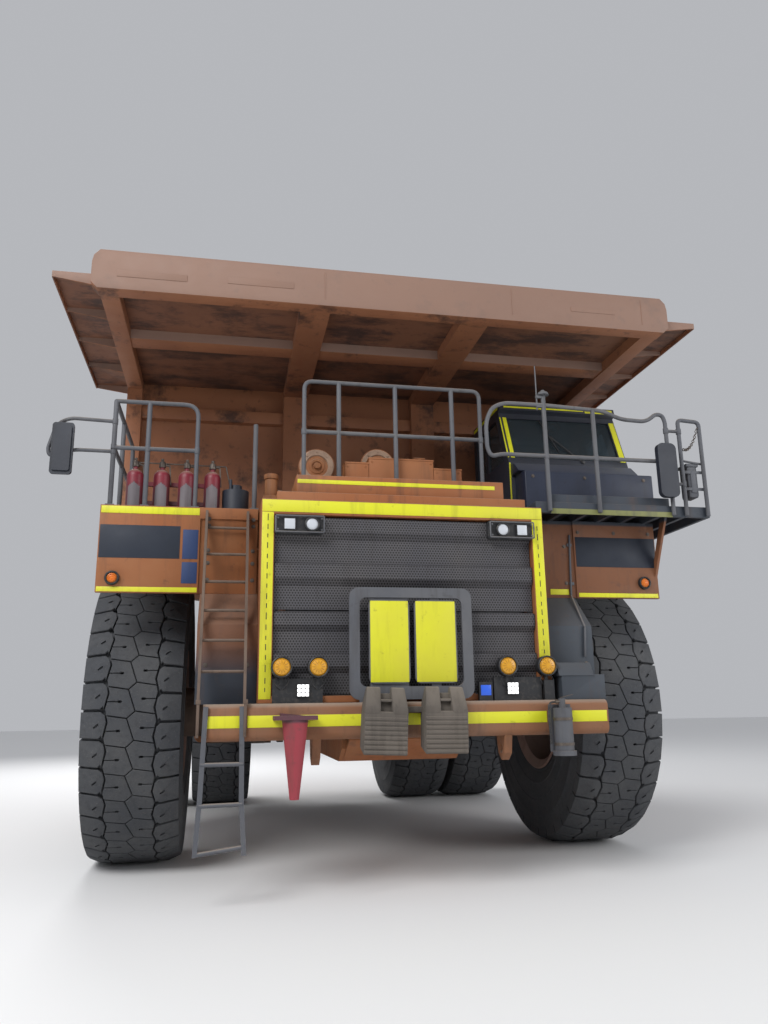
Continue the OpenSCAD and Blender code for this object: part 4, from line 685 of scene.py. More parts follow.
PIPE_R = 0.021
POST_R = 0.023
LOOP_R = 0.018
ROD_R = 0.017
CAB_RAIL_Y = -4.9433
HOOD_RAIL_Y = -4.665
RIGHT_RAIL_Y = -4.517
RIGHT_RAIL_X = -2.715
INNER_POST_X = -1.941
MID_RAIL_Z = 3.96
TOP_RAIL_Z = 4.43
GATE_X = (2.815, 2.96)
HOOD_POSTS_X = (-0.92, -0.575, 0.0, 0.59, 0.89)


def rod(bm, start, end, radius=PIPE_R):
    drum(bm, start, end, radius, edge=0, sides=16)


def posts(bm, places, foot, top):
    for x, y in places:
        drum(bm, (x, y, foot), (x, y, top), POST_R, edge=0.002, sides=20)


def feet(bm, places, foot, half, back):
    """Base plates under the posts."""
    for x, y in places:
        slab(bm, (x - half, y - back, foot), (x + half, y + half, foot + 0.01), 0.002)


def rails(name, bm, node):
    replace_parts(piece(name, bm, rail_paint), node)


def cab_rails():
    bm = bmesh.new()
    y, foot = CAB_RAIL_Y, 3.37
    near, far = GATE_X
    loop = [(near, 3.935), (1.01, 3.935), (0.90, 3.905), (0.862, 3.99), (0.858, 4.26), (0.93, 4.42), (1.06, 4.475),
            (1.48, 4.475), (2.13, 4.45), (2.31, 4.37), (2.60, 4.36), (2.72, 4.45), (2.79, 4.44), (near, 4.37),
            (near, foot)]
    bent_pipe(bm, [(x, y, z) for x, z in loop], PIPE_R, 0.09)
    bent_pipe(bm, [(far, y, foot), (far, y, 4.40), (3.2, y, 4.385), (3.2, y, foot)], PIPE_R, 0.05)
    posts(bm, [(1.48, y)], foot, 4.59)
    posts(bm, [(2.01, y)], foot, 4.455)
    for z in (4.27, 3.70):
        rod(bm, (near, y, z), (far, y, z), ROD_R)
    # Beacon stalk and whip aerial with its clamps
    drum(bm, (1.48, y, 4.58), (1.48, y, 4.61), 0.06, 0.05, 0.004, 28)
    drum(bm, (1.48, y, 4.60), (1.48, y, 4.635), 0.03, 0.02, 0.004, 20)
    drum(bm, (1.41, y, 4.42), (1.41, y, 4.90), 0.009, 0.006, 0.001, 12)
    for z in (4.46, 4.56):
        slab(bm, (1.40, y - 0.016, z - 0.014), (1.50, y + 0.016, z + 0.014), 0.004)
    rails("cab_side_rails", bm, "cab_handrail")


def centre_rails():
    bm = bmesh.new()
    y, foot, top = HOOD_RAIL_Y, HOOD_TOP + 0.0003, 4.6946
    places = [(x, y) for x in HOOD_POSTS_X]
    low_x, high_x = HOOD_POSTS_X[0], HOOD_POSTS_X[-1]
    bent_pipe(bm, [(low_x, y, foot), (low_x, y, top), (high_x, y, top), (high_x, y, foot)], PIPE_R, 0.085)
    rod(bm, (low_x, y, foot + 0.52), (high_x, y, foot + 0.52))
    posts(bm, places[1:-1], foot, top)
    feet(bm, places, foot, 0.045, 0.045)
    rails("hood_rails", bm, "centre_handrail")


def right_rails():
    bm = bmesh.new()
    x, y, rear, foot = RIGHT_RAIL_X, RIGHT_RAIL_Y, -3.06, RIGHT_TOP + 0.0003
    bent_pipe(bm, [(x, y, TOP_RAIL_Z), (INNER_POST_X, y, TOP_RAIL_Z), (INNER_POST_X, y, foot)], PIPE_R, 0.13)
    rod(bm, (x, y, MID_RAIL_Z), (INNER_POST_X, y, MID_RAIL_Z))
    places = [(x, y), (-2.402, y), (x, y + 0.62), (x, rear)]
    posts(bm, places, foot, TOP_RAIL_Z)
    for z in (MID_RAIL_Z, TOP_RAIL_Z):
        rod(bm, (x, y, z), (x, rear, z))
    # Loop that holds the mirror
    bent_pipe(bm, [(x, y, 4.22), (-3.12, y - 0.04, 4.22), (-3.23, y - 0.05, 4.15), (-3.29, y - 0.06, 3.90),
                   (-3.27, y - 0.06, 3.83), (-3.08, y - 0.04, 3.91), (x, y, 3.92)], LOOP_R, 0.09)
    posts(bm, [(LONE_POST_X, y)], foot, 4.26)
    feet(bm, places + [(INNER_POST_X, y), (LONE_POST_X, y)], foot, 0.04, 0.038)
    rails("right_deck_rails", bm, "right_handrail")


cab_rails()
centre_rails()
right_rails()


# Bright tape, blank bands and boards on the body

YELLOW = (yellow_paint, "yellow_paint")
BAND = (band_paint, "dark_paint")
TAPES = (
    ("bumper_tape", "front_bumper", *YELLOW,
     ((-1.76, -1.475, 1.372, 1.468), (-1.415, 1.19, 1.372, 1.468), (1.41, 1.76, 1.372, 1.468))),
    ("surround_tape", "radiator_guard", *YELLOW,
     ((-1.325, -1.222, 1.6, 3.24), (1.222, 1.325, 1.93, 3.24), (-1.325, 1.325, 3.245, 3.355))),
    ("fender_tape", "right_deck", *YELLOW, ((-2.78, -1.89, 3.312, 3.38), (-2.78, -1.89, 2.578, 2.622))),
    ("cab_side_tape", "cab_deck", *YELLOW, ((1.90, 2.775, 2.578, 2.62), (1.60, 1.80, 2.602, 2.658))),
    ("right_band", "right_deck", *BAND, ((-2.78, -2.06, 2.89, 3.20),)),
    ("left_band", "cab_deck", *BAND, ((1.895, 2.782, 2.89, 3.20),)),
    ("blank_boards", "right_deck", board_blue, "blue_paint",
     ((-2.035, -1.895, 2.89, 3.17), (-2.035, -1.895, 2.66, 2.86))),
    ("deck_edge_tape", "cab_deck", deck_tape_paint, "yellow_paint", ((1.50, 2.81, 3.352, 3.405),)),
    ("hood_tape", "hood", *YELLOW, ((-1.0, 0.92, 3.562, 3.6),)),
)
for row in TAPES:
    tapes(*row)


def surround_seams():
    """The dashed seam along the middle of the surround's tape, with dashes and gaps of uneven length."""
    bm = bmesh.new()
    y = front("radiator_guard", -1.27, 2.5) - 0.003
    for x, z in ((-1.272, 1.66), (1.272, 1.98)):
        dash = 0
        while z < 3.2:
            long = 0.035 + 0.03 * ((dash * 7) % 5) / 5
            slab(bm, (x - 0.0035, y - 0.0015, z), (x + 0.0035, y + 0.001, z + long), 0)
            z += long + 0.035 + 0.02 * ((dash * 3) % 4) / 4
            dash += 1
    piece("surround_seams", bm, black_plastic, smooth=False)


surround_seams()


def cab_tapes():
    """Tape down both sides of the screen, down the cab's corner, and along the roof's front and side."""
    bm = bmesh.new()
    low_z, high_z, corner_z, roof_z, thick = 4.24, 4.80, (3.56, 4.17), 4.925, 0.004
    low_y, high_y = (front("cab_shell", 1.49, z) - 0.002 for z in (low_z, high_z))
    for x, wide in ((1.512, 0.045), (2.858, 0.062), (1.458, 0.014)):
        strip(bm, (x, low_y, low_z), (x, high_y, high_z), (1, 0, 0), wide, thick)
    y = front("cab_shell", 1.465, 3.8) - 0.002
    strip(bm, (1.46, y, corner_z[0]), (1.46, y, corner_z[1]), (1, 0, 0), 0.016, thick)
    y = front("cab_shell", 2.2, 4.93) - thick
    for low_x, high_x, wide in ((1.5, 2.5, 0.02), (2.52, 2.87, 0.055)):
        strip(bm, (low_x, y, roof_z), (high_x, y, roof_z), (0, 0.18, 1), wide, thick)
    x = hit("cab_shell", (0, -3.2, 4.93), (1, 0, 0)).x - 0.002
    strip(bm, (x, -3.66, 4.93), (x, -2.76, 4.93), (0, 0, 1), 0.04, thick)
    piece("cab_tape", bm, yellow_paint)


cab_tapes()


# Lamps with their lenses

GUARD_FACE = -5.083
HEAD_LAMP_Z = GUARD_TOP - 0.140 - 0.095
LED_PITCH = 0.034


def dome(bm, place, radius, depth):
    """A lens: a shallow dome that stands off along -Y."""
    rim = [(0.0, radius), (-depth * 0.55, radius * 0.86), (-depth * 0.85, radius * 0.5), (-depth, 0.0),
           (0.004, 0.0), (0.004, radius)]
    turned(bm, rim, place, "Y", 32)


def bezel(bm, place, radius):
    ring = [(0.006, radius + 0.012), (-0.012, radius + 0.01), (-0.016, radius + 0.003), (-0.012, radius - 0.003),
            (0.006, radius - 0.003)]
    turned(bm, ring, place, "Y", 32)


def amber_lamp(lens, ribs, dark, x, z=1.864):
    """A round amber lamp with rings and spokes on its lens, and two leads below it."""
    y = GUARD_FACE - 0.095
    dome(lens, (x, y, z), 0.078, 0.03)
    bezel(dark, (x, y, z), 0.08)
    for radius in (0.024, 0.046, 0.064):
        turned(ribs, [(-0.033 + radius * 0.22, radius), (-0.031 + radius * 0.26, radius + 0.005),
                      (-0.008, radius + 0.005), (-0.008, radius)], (x, y, z), "Y", 32)
    for k in range(12):
        a = math.pi / 6 * k
        way = Vector((math.cos(a), 0, math.sin(a)))
        strip(ribs, Vector((x, y - 0.027, z)) + way * 0.03, Vector((x, y - 0.013, z)) + way * 0.066,
              Vector((-way.z, 0, way.x)), 0.004, 0.006)
    for dx in (-0.03, 0.03):
        hose(dark, [(x + dx, y + 0.05, 1.80), (x + dx * 2, y + 0.03, 1.74), (x + dx * 0.4, y + 0.05, 1.68)],
             0.005, 8)


def fender_lamp(lens, dark, x, z):
    y = FENDER_Y - 0.024
    dome(lens, (x, y, z), 0.046, 0.016)
    for radius in (0.016, 0.032):
        turned(lens, [(-0.019, radius), (-0.013, radius + 0.004), (-0.004, radius + 0.004), (-0.004, radius)],
               (x, y, z), "Y", 28)
    bezel(dark, (x, y, z), 0.052)


def lens_plate(bm, x, y, z, half):
    """A square lens on a lamp."""
    slab(bm, (x - half, y - 0.004, z - half), (x + half, y + 0.002, z + half), 0.003)


def head_lamp(lens, dark, square_x, round_x):
    """A square and a round lens side by side in the guard's corner."""
    lens_plate(lens, square_x, GUARD_FACE - 0.032, HEAD_LAMP_Z, 0.047)
    place = (round_x, GUARD_FACE - 0.034, HEAD_LAMP_Z)
    dome(lens, place, 0.055, 0.012)
    bezel(dark, place, 0.056)


def lamp_frame(bm, low_x, high_x):
    """A round bar bent round a pair of head lamps, with four bolts."""
    y, low_z, high_z = GUARD_FACE - 0.038, HEAD_LAMP_Z - 0.074, HEAD_LAMP_Z + 0.074
    corners = [(low_x, low_z), (high_x, low_z), (high_x, high_z), (low_x, high_z)]
    for a, b in zip(corners, corners[1:] + corners[:1]):
        drum(bm, (a[0], y, a[1]), (b[0], y, b[1]), 0.007, edge=0.002, sides=12)
    for x in (low_x + 0.02, high_x - 0.02):
        for dz in (-0.052, 0.052):
            bolt(bm, (x, y + 0.004, HEAD_LAMP_Z + dz), FORWARDS, 0.006, 0.006)


def lamps():
    amber, ribs, orange, dark, white, led, frames, blue = (bmesh.new() for _ in range(8))
    for x in (-1.137, -0.823, 0.88, 1.254):
        amber_lamp(amber, ribs, dark, x)
    for x, z in ((-2.646, 2.70), (2.626, 2.73)):
        fender_lamp(orange, dark, x, z)
    for square_x, round_x in ((-1.08, -0.88), (1.11, 0.92)):
        head_lamp(white, dark, square_x, round_x)
    steps = (-LED_PITCH, 0, LED_PITCH)
    for dx in steps:
        for dz in steps:
            for x in (-0.95, 0.93):
                lens_plate(led, x + dx, GUARD_FACE - 0.062, BUMPER_TOP + 0.105 + dz, 0.0145)
    for low_x, high_x in ((-1.205, -0.772), (0.795, 1.225)):
        lamp_frame(frames, low_x, high_x)
    slab(blue, (0.635, GUARD_FACE - 0.044, 1.61), (0.73, GUARD_FACE - 0.038, 1.7), 0.003)
    for name, bm, finish, slot in (
            ("lamp_frames", frames, rail_paint, "grey_paint"), ("amber_lenses", amber, amber_lens, "glass"),
            ("amber_lens_ribs", ribs, amber_rib, "glass"), ("fender_lenses", orange, orange_lens, "glass"),
            ("lamp_bezels", dark, black_plastic, "dark_plastic"), ("white_lenses", white, white_lens, "glass"),
            ("bright_lenses", led, led_lens, "glass"), ("blue_lamp_lens", blue, blue_lens, "glass")):
        piece(name, bm, finish)


lamps()


# Small parts

def blank_plates():
    """The two blank plates of the sign, on their dark backs."""
    bm = bmesh.new()
    y = front("sign_frame", -0.2, 2.1)
    for x0, x1 in ((-0.385, -0.02), (0.025, 0.41)):
        slab(bm, (x0 + 0.012, y - 0.003, 1.73), (x1 - 0.012, y + 0.001, 2.435), 0.0015)
    piece("blank_sign_plates", bm, yellow_paint)


def panel_bolts():
    bm = bmesh.new()
    rows = [("right_deck", x, z) for x in (-1.80, -1.385) for z in (3.28, 3.22, 2.98, 2.86, 2.70)]
    rows += [("cab_deck", x, 3.25) for x in (1.93, 2.33, 2.72)]
    rows += [("cab_deck", x, z) for x in (1.40, 1.78) for z in (3.1, 2.72)]
    rows += [("lower_panels", x, 1.9) for x in (-1.78, -1.42, 1.42, 1.78)]
    rows += [("front_box", x, z) for x in (1.6, 2.2, 2.9) for z in (3.55, 3.93)]
    for node, x, z in rows:
        bolt(bm, (x, front(node, x, z), z), FORWARDS, 0.013, 0.01)
    piece("panel_bolts", bm, bolt_steel, smooth=False)


def canopy_patches():
    """Weld patches and seams on the canopy's lip."""
    bm = bmesh.new()
    for x0, x1, z0, z1 in ((-2.73, -2.08, 5.51, 5.58), (-1.7, -1.06, 5.53, 5.60), (1.85, 2.35, 5.54, 5.59)):
        plate(bm, "canopy", x0, x1, z0, z1, 0.004, 0.002)
    for x in (-0.75, 1.2, 2.66):
        y = front("canopy", x, 5.6)
        slab(bm, (x - 0.006, y - 0.003, 5.45), (x + 0.006, y + 0.001, 5.74), 0.0015)
    piece("canopy_weld_patches", bm, canopy_finish, "bed")


def wheel_nuts(node, body, x_way, centre_y, count, radius, size=0.02):
    """Nuts in a circle on the outer face of a rim."""
    bm = bmesh.new()
    for i in range(count):
        a = 2 * math.pi * (i + 0.5) / count
        y, z = centre_y + radius * math.cos(a), AXLE_Z + radius * math.sin(a)
        place = hit(node, (x_way * 5, y, z), (-x_way, 0, 0))
        bolt(bm, place, (x_way, 0, 0), size, size * 1.1)
    piece(body + "_nuts", bm, bolt_steel, body, smooth=False)


def gate_chain():
    bm = bmesh.new()
    start, end = Vector((3.18, -4.945, 4.33)), Vector((2.98, -4.945, 4.08))
    count = 17
    for i in range(count):
        t = (i + 0.5) / count
        p = start.lerp(end, t) - Vector((0, 0, 0.09 * 4 * t * (1 - t)))
        ring = bmesh.new()
        turned(ring, ring_profile(0.013, 0.004, 8), (0, 0, 0), "Y" if i % 2 else "X", 12)
        bmesh.ops.rotate(ring, verts=ring.verts, cent=(0, 0, 0), matrix=Matrix.Rotation(0.7, 3, "Y"))
        bmesh.ops.translate(ring, verts=ring.verts, vec=p)
        joined(bm, ring)
    piece("gate_chain", bm, bolt_steel)


def bottle_heads():
    """Valve heads of the fire bottles, their neck rings and the thin pipe that joins them."""
    bm = bmesh.new()
    y, z = BOTTLE_Y, RIGHT_TOP + 0.46
    for x in BOTTLE_XS:
        drum(bm, (x, y, z - 0.03), (x, y, z + 0.03), 0.034, 0.027, 0.004, 20)
        drum(bm, (x, y, z + 0.03), (x, y, z + 0.06), 0.012, 0.016, 0.002, 12)
        turned(bm, [(-0.011, 0.072), (0.011, 0.072), (0.011, 0.078), (-0.011, 0.078)],
               (x, y, z - 0.24), "Z", 28)
        drum(bm, (x + 0.03, y, z), (x + 0.075, y + 0.01, z - 0.01), 0.011, sides=12)
        strip(bm, (x + 0.07, y + 0.012, z - 0.01), (x + 0.085, y + 0.02, z - 0.2), (0, 1, 0), 0.02, 0.012)
    drum(bm, (BOTTLE_XS[0] - 0.03, y + 0.02, z + 0.022), (-1.66, y + 0.02, z + 0.012), 0.007, sides=12)
    drum(bm, (-1.66, y + 0.02, z + 0.012), (-1.62, y + 0.05, z - 0.16), 0.007, sides=12)
    piece("bottle_heads_and_pipe", bm, bolt_steel)


def seat_pads():
    """Cushion and back of the operator's seat: crowned pads with drawn-in edges and sewn channels."""
    low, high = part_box("operator_seat")
    mid = (low[0] + high[0]) / 2
    pads = bmesh.new()

    def pad(centre, size, tilt, channels):
        bm = bmesh.new()
        bmesh.ops.create_cube(bm, size=1)
        bmesh.ops.subdivide_edges(bm, edges=bm.edges, cuts=15, use_grid_fill=True)
        for v in bm.verts:
            u, w, h = (2 * c for c in v.co)
            round_side = (1 - 0.16 * w ** 4) * (1 - 0.10 * h * h), (1 - 0.16 * u ** 4) * (1 - 0.10 * h * h)
            crown = 0.62 + 0.38 * (1 - u * u) ** 0.5 * (1 - w * w) ** 0.5 if abs(u) < 1 and abs(w) < 1 else 0.62
            groove = sum(math.exp(-((u - c) / 0.05) ** 2) for c in channels) * 0.12
            v.co = Vector((u * size[0] * round_side[0], w * size[1] * round_side[1],
                           h * size[2] * (crown - (groove if abs(h) > 0.9 else 0)))) / 2
        bmesh.ops.rotate(bm, verts=bm.verts, cent=(0, 0, 0), matrix=Matrix.Rotation(tilt, 3, "X"))
        bmesh.ops.translate(bm, verts=bm.verts, vec=centre)
        joined(pads, bm)

    pad((mid, low[1] + 0.25, low[2] + 0.375), (0.48, 0.47, 0.15), 0.04, (-0.4, 0.4))
    pad((mid, low[1] + 0.485, low[2] + 0.73), (0.46, 0.64, 0.13), math.radians(83), (-0.4, 0.4))
    obj = piece("seat_pads", pads, seat_cloth)
    base = bmesh.new()
    slab(base, (mid - 0.16, low[1] + 0.09, low[2]), (mid + 0.16, low[1] + 0.39, low[2] + 0.04), 0.006)
    for i in range(4):
        slab(base, (mid - 0.13, low[1] + 0.11, low[2] + 0.045 + i * 0.055),
             (mid + 0.13, low[1] + 0.37, low[2] + 0.085 + i * 0.055), 0.012)
    slab(base, (mid - 0.2, low[1] + 0.05, low[2] + 0.265), (mid + 0.2, low[1] + 0.43, low[2] + 0.31), 0.008)
    stand = piece("seat_base", base, black_plastic)
    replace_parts(obj, "operator_seat")
    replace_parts(stand, "operator_seat")


def cleaner_caps():
    bm, ring = bmesh.new(), bmesh.new()
    for x, z in ((-0.765, HOOD_TOP + 0.24), (-0.095, HOOD_TOP + 0.35)):
        y = front("air_cleaners", x + 0.1, z)
        turned(ring, [(-0.002, 0.174), (-0.014, 0.168), (-0.014, 0.118), (-0.003, 0.110), (0.004, 0.110),
                      (0.004, 0.174)], (x, y, z), "Y", 40)
        turned(bm, [(-0.003, 0.112), (-0.003, 0.08), (-0.010, 0.074), (-0.010, 0.050), (0.004, 0.046), (0.004, 0.112)],
               (x, y, z), "Y", 40)
        for i in range(8):
            a = math.pi / 4 * i
            bolt(ring, (x + 0.145 * math.cos(a), y - 0.014, z + 0.145 * math.sin(a)), FORWARDS, 0.008, 0.008)
    piece("air_cleaner_rings", ring, cap_paint)
    piece("air_cleaner_caps", bm, body_paint)


def cab_trim():
    """Wiper on the screen, and the round fan behind it."""
    bm = bmesh.new()
    low = Vector((2.35, front("cab_shell", 1.49, 4.24) - 0.012, 4.215))
    top = Vector((2.02, front("cab_shell", 1.49, 4.55) - 0.012, 4.55))
    strip(bm, low, top, (0.7, 0, 0.7), 0.018, 0.008)
    strip(bm, top + Vector((-0.09, 0.09, 0.22)), top + Vector((0.06, -0.075, -0.2)), (1, 0, 0.3), 0.014, 0.02)
    drum(bm, low + Vector((0, 0.02, 0)), low - Vector((0, 0.018, 0)), 0.022, sides=20)
    piece("cab_wiper", bm, black_plastic)
    bm = bmesh.new()
    x, y, z = 2.12, -3.66, 4.74
    turned(bm, ring_profile(0.09, 0.012, 10), (x, y, z), "Y", 36)
    drum(bm, (x, y + 0.01, z), (x, y + 0.03, z), 0.03, sides=20)
    for k in range(3):
        a = 2 * math.pi * k / 3 + 0.4
        strip(bm, (x, y + 0.02, z), (x + 0.09 * math.cos(a), y + 0.01, z + 0.09 * math.sin(a)), (0, 1, 0), 0.012, 0.01)
    piece("cab_fan", bm, rail_paint)


def cab_side_trim():
    """Thin pipe down the fender and the lower panel, and the backing behind the grille's slot."""
    pipe = bmesh.new()
    y = front("cab_deck", 1.83, 2.9) - 0.014
    drum(pipe, (1.838, y, 3.22), (1.815, y, 2.59), 0.011, sides=14)
    low_y = front("lower_panels", 1.78, 2.1) - 0.016
    drum(pipe, (1.815, y, 2.59), (1.785, low_y, 2.24), 0.011, sides=14)
    drum(pipe, (1.785, low_y, 2.24), (1.765, low_y, 1.96), 0.011, sides=14)
    for z in (3.1, 2.7):
        slab(pipe, (1.805, y - 0.002, z), (1.858, y + 0.015, z + 0.03), 0.003)
    piece("drain_pipe", pipe, rail_paint)
    back = bmesh.new()
    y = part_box("grille")[1][1]
    slab(back, (-1.1, y - 0.004, 2.25), (1.1, y + 0.004, 2.45), 0.001)
    piece("grille_backing", back, black_plastic)


def gate_box():
    """Grey box with its lid and short rail, hung behind the gate posts at the deck's outer end."""
    bm = bmesh.new()
    y = front("cab_handrail", 2.96, 4.0) + 0.05
    slab(bm, (3.03, y, 3.57), (3.15, y + 0.16, 3.93), 0.03)
    slab(bm, (3.02, y - 0.01, 3.90), (3.16, y + 0.17, 3.935), 0.01)
    slab(bm, (3.06, y - 0.012, 3.62), (3.12, y + 0.01, 3.86), 0.006)
    drum(bm, (2.96, y - 0.01, 3.96), (3.2, y - 0.01, 3.93), 0.012, sides=14)
    for z in (3.66, 3.84):
        strip(bm, (2.955, y - 0.005, z), (3.205, y - 0.005, z), (0, 0, 1), 0.03, 0.01)
    piece("gate_box", bm, rail_paint)


def bottle_labels():
    """Blank pale label patches on the fronts of the fire bottles."""
    bm = bmesh.new()
    radius = BOTTLE_R + 0.001
    for x in BOTTLE_XS:
        for k in range(-3, 4):
            a = math.radians(12 * k - 90)
            foot = Vector((x + radius * math.cos(a), BOTTLE_Y + radius * math.sin(a), RIGHT_TOP + 0.02))
            strip(bm, foot, foot + Vector((0, 0, 0.24 - 0.012 * abs(k))), (-math.sin(a), math.cos(a), 0),
                  radius * 0.22, 0.002)
    piece("blank_bottle_labels", bm, label_paint)


def hood_boxes():
    """Covers that stand on the hood in front of the air cleaners, with their lids, bolts and filler."""
    bm = bmesh.new()
    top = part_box("hood")[1][2]
    y0, y1 = -4.60, -4.42
    for x0, x1, z in ((-0.505, -0.266, 3.895), (-0.263, 0.40, 3.95), (0.403, 0.694, 3.865)):
        slab(bm, (x0, y0, top), (x1, y1, z), 0.006)
        slab(bm, (x0 - 0.004, y0 - 0.004, z - 0.02), (x1 + 0.004, y1 + 0.004, z), 0.004)
        for x in (x0 + 0.03, x1 - 0.03):
            for dz in (0.03, z - top - 0.045):
                bolt(bm, (x, y0, top + dz), FORWARDS, 0.007, 0.006)
    drum(bm, (0.28, -4.5, 3.95), (0.28, -4.5, 3.985), 0.014, sides=14)
    drum(bm, (0.22, -4.5, 3.99), (0.34, -4.5, 3.99), 0.009, sides=12)
    # Canister beside the hood, with its cap and neck ring
    y = FENDER_Y + 0.28
    slab(bm, (-1.294, y - 0.084, RIGHT_TOP + 0.001), (-1.116, y + 0.104, RIGHT_TOP + 0.196), 0.008)
    drum(bm, (-1.21, y, RIGHT_TOP + 0.19), (-1.21, y, RIGHT_TOP + 0.375), 0.064, edge=0.012, sides=28)
    drum(bm, (-1.21, y, RIGHT_TOP + 0.375), (-1.21, y, RIGHT_TOP + 0.43), 0.072, edge=0.01, sides=28)
    drum(bm, (-1.15, y, RIGHT_TOP + 0.25), (-1.10, y, RIGHT_TOP + 0.25), 0.02, sides=16)
    piece("hood_covers", bm, body_paint)


def ladder_stays():
    """Lower ends of the ladder's rails over the bumper, with their clamp plates."""
    bm = bmesh.new()
    for x in (-1.815, -1.435):
        y = front("front_bumper", -1.7, 1.42)
        slab(bm, (x - 0.012, y - 0.03, 1.30), (x + 0.012, y, 1.60), 0.003)
        slab(bm, (x - 0.02, y - 0.034, 1.565), (x + 0.02, y + 0.02, 1.60), 0.003)
        bolt(bm, (x, y - 0.03, 1.34), FORWARDS, 0.008, 0.008)
    piece("ladder_stays", bm, steel_paint)


def prism(bm, outline, x0, x1, edge=0.01):
    """A (y, z) outline drawn out along X, with rounded edges."""
    face = bm.faces.new([bm.verts.new((x0, y, z)) for y, z in outline])
    moved = bmesh.ops.extrude_face_region(bm, geom=[face], use_keep_orig=True)["geom"]
    verts = [g for g in moved if isinstance(g, bmesh.types.BMVert)]
    bmesh.ops.translate(bm, vec=(x1 - x0, 0, 0), verts=verts)
    every = list(set(verts) | set(face.verts))
    faces = list({f for v in every for f in v.link_faces})
    bmesh.ops.recalc_face_normals(bm, faces=faces)
    edges = list({e for v in every for e in v.link_edges})
    rounded(bm, edges, edge, clamp_overlap=True)


def stowed_chocks():
    """Two moulded chocks: arms with a barred recess between them, and fine ribs below."""
    whole = bmesh.new()
    wide, back, top = 0.372, -5.2513, 1.684
    for x, lean in ((-0.470, 2.5), (0.045, 1.0)):
        bm = bmesh.new()
        prism(bm, [(back, top - 0.20), (back - 0.186, top - 0.20), (back - 0.183, top - 0.55), (back, top - 0.50)],
              x, x + wide, 0.012)
        arm = [(back, top - 0.118), (back - 0.06, top), (back - 0.11, top), (back - 0.186, top - 0.17),
               (back - 0.19, top - 0.225), (back, top - 0.225)]
        prism(bm, arm, x, x + 0.137, 0.014)
        prism(bm, arm, x + 0.237, x + wide, 0.014)
        prism(bm, [(back, top - 0.14), (back - 0.05, top - 0.05), (back - 0.07, top - 0.05),
                   (back - 0.135, top - 0.22), (back, top - 0.22)], x + 0.13, x + 0.245, 0.006)
        slab(bm, (x + 0.13, back - 0.15, top - 0.122), (x + 0.245, back - 0.09, top - 0.1), 0.008)
        for i in range(8):
            z = top - 0.247 - i * 0.038
            slab(bm, (x + 0.004, back - 0.191, z - 0.026), (x + wide - 0.004, back - 0.175, z), 0.006)
        mid = x + wide / 2
        for v in bm.verts:
            rise = max(0.0, (v.co.z - (top - 0.2)) / 0.2)
            v.co.x = mid + (v.co.x - mid) * (1 - 0.12 * rise)
        bmesh.ops.rotate(bm, verts=bm.verts, cent=(mid, back, top - 0.2),
                         matrix=Matrix.Rotation(math.radians(lean), 3, "Y"))
        joined(whole, bm)
    slab(whole, (-0.11, -5.311, 1.474), (0.06, back, 1.524), 0.008)
    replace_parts(piece("stowed_chocks", whole, chock_paint), "wheel_chocks")


def rail_sleeves():
    """Clamp sleeves where the handrail pipes meet."""
    bm = bmesh.new()
    spots = [(-2.402, RIGHT_RAIL_Y, MID_RAIL_Z), (INNER_POST_X, RIGHT_RAIL_Y, MID_RAIL_Z)]
    spots += [(RIGHT_RAIL_X, RIGHT_RAIL_Y, z) for z in (MID_RAIL_Z, 4.22, 3.92)]
    y = front("cab_handrail", 1.48, 4.2) + POST_R
    spots += [(1.48, y, 3.935), (2.01, y, 3.935)] + [(x, y, z) for x in GATE_X for z in (4.27, 3.70)]
    y = front("centre_handrail", HOOD_POSTS_X[0], 4.0) + PIPE_R
    spots += [(x, y, 4.164) for x in (HOOD_POSTS_X[0], HOOD_POSTS_X[-1])]
    for x, y, z in spots:
        drum(bm, (x, y, z - 0.03), (x, y, z + 0.03), 0.027, sides=24)
    piece("rail_clamps", bm, rail_paint)


def extinguisher_parts():
    """Rings, lever and hose of the grey extinguisher on the bumper."""
    x, y, z = 1.298, -5.346, 1.52
    bm = bmesh.new()
    strip(bm, (x - 0.02, y - 0.02, z + 0.06), (x + 0.09, y - 0.03, z + 0.085), (0, 1, 0), 0.024, 0.006)
    for h in (-0.12, -0.33):
        turned(bm, [(-0.012, 0.0835), (0.012, 0.0835), (0.012, 0.0865), (-0.012, 0.0865)], (x, y, z + h), "Z", 36)
    drum(bm, (x - 0.02, y, z + 0.025), (x - 0.06, y, z + 0.025), 0.016, sides=16)
    piece("extinguisher_rings", bm, bolt_steel)
    points = [(x - 0.055, y, z + 0.025), (x - 0.11, y, z + 0.01), (x - 0.13, y - 0.004, z - 0.08),
              (x - 0.127, y - 0.006, z - 0.2), (x - 0.122, y - 0.006, z - 0.33)]
    bm = bmesh.new()
    path = hose(bm, points, 0.009)
    obj = piece("extinguisher_hose", bm, rubber_hose)


blank_plates()
panel_bolts()
canopy_patches()
for side_name, side in SIDES:
    wheel_nuts(f"front_{side_name}_rim", f"front_{side_name}_wheel", side, FRONT_AXLE_Y, 20, 0.36)
    wheel_nuts(f"rear_{side_name}_rims", f"rear_{side_name}_wheels", side, REAR_AXLE_Y, 24, 0.42)
for build in (gate_chain, bottle_heads, seat_pads, cleaner_caps, cab_trim, cab_side_trim, gate_box, bottle_labels,
              hood_boxes, ladder_stays, stowed_chocks, rail_sleeves, extinguisher_parts):
    build()


# Floor, light and camera

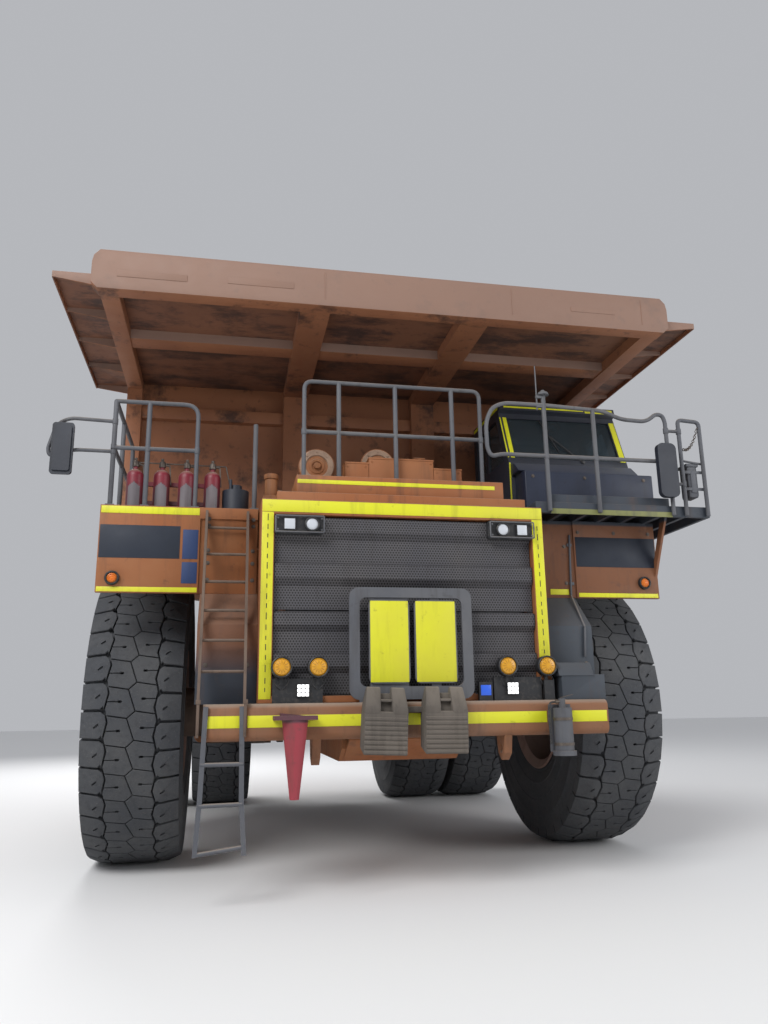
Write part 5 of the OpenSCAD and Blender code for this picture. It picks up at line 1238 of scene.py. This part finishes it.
def stage():
    bm = bmesh.new()
    bmesh.ops.create_grid(bm, x_segments=1, y_segments=1, size=60)
    mesh = bpy.data.meshes.new("pale_floor")
    bm.to_mesh(mesh)
    bm.free()
    floor = bpy.data.objects.new("pale_floor", mesh)
    bpy.context.scene.collection.objects.link(floor)
    f = Finish("pale_floor", DUST, 0.9)
    f.surface("Base Color", (0.8, 0.8, 0.8, 1))
    mesh.materials.append(f.mat)


def lamp(name, place, aim, size, power):
    data = bpy.data.lights.new(name, "AREA")
    data.shape = "DISK"
    data.size = size
    data.energy = power
    obj = bpy.data.objects.new(name, data)
    obj.location = place
    obj.rotation_euler = (Vector(aim) - Vector(place)).to_track_quat("-Z", "Y").to_euler()
    bpy.context.scene.collection.objects.link(obj)


def light():
    world = bpy.data.worlds.new("soft_studio")
    bpy.context.scene.world = world
    world.use_nodes = True
    back = world.node_tree.nodes["Background"]
    back.inputs["Color"].default_value = (0.93, 0.95, 1.0, 1)
    back.inputs["Strength"].default_value = 0.5
    lamp("key", (-9, -14, 12), (0, -2, 2.5), 8, 1900)
    lamp("fill", (11, -12, 6), (0, -3, 2.5), 8, 700)
    lamp("back", (-4, 12, 12), (0, 0, 3), 8, 1600)


def camera():
    """Stands where the photograph was taken from: low in front, a little to the truck's right."""
    yaw, pitch, roll = (math.radians(a) for a in (11.22, 13.65, -0.85))
    ahead = Vector((math.sin(yaw) * math.cos(pitch), math.cos(yaw) * math.cos(pitch), math.sin(pitch)))
    right = Vector((math.cos(yaw), -math.sin(yaw), 0))
    up = right.cross(ahead)
    right, up = (math.cos(roll) * right + math.sin(roll) * up, -math.sin(roll) * right + math.cos(roll) * up)
    data = bpy.data.cameras.new("photo_camera")
    data.sensor_width = 36
    data.lens = 800.5 / 1024 * 36
    obj = bpy.data.objects.new("photo_camera", data)
    turn = Matrix((right, up, -ahead)).transposed()
    obj.matrix_world = Matrix.Translation((-1.611, -12.128, 1.527)) @ turn.to_4x4()
    bpy.context.scene.collection.objects.link(obj)
    bpy.context.scene.camera = obj


stage()
light()
camera()
bpy.context.scene.view_settings.view_transform = "Standard"
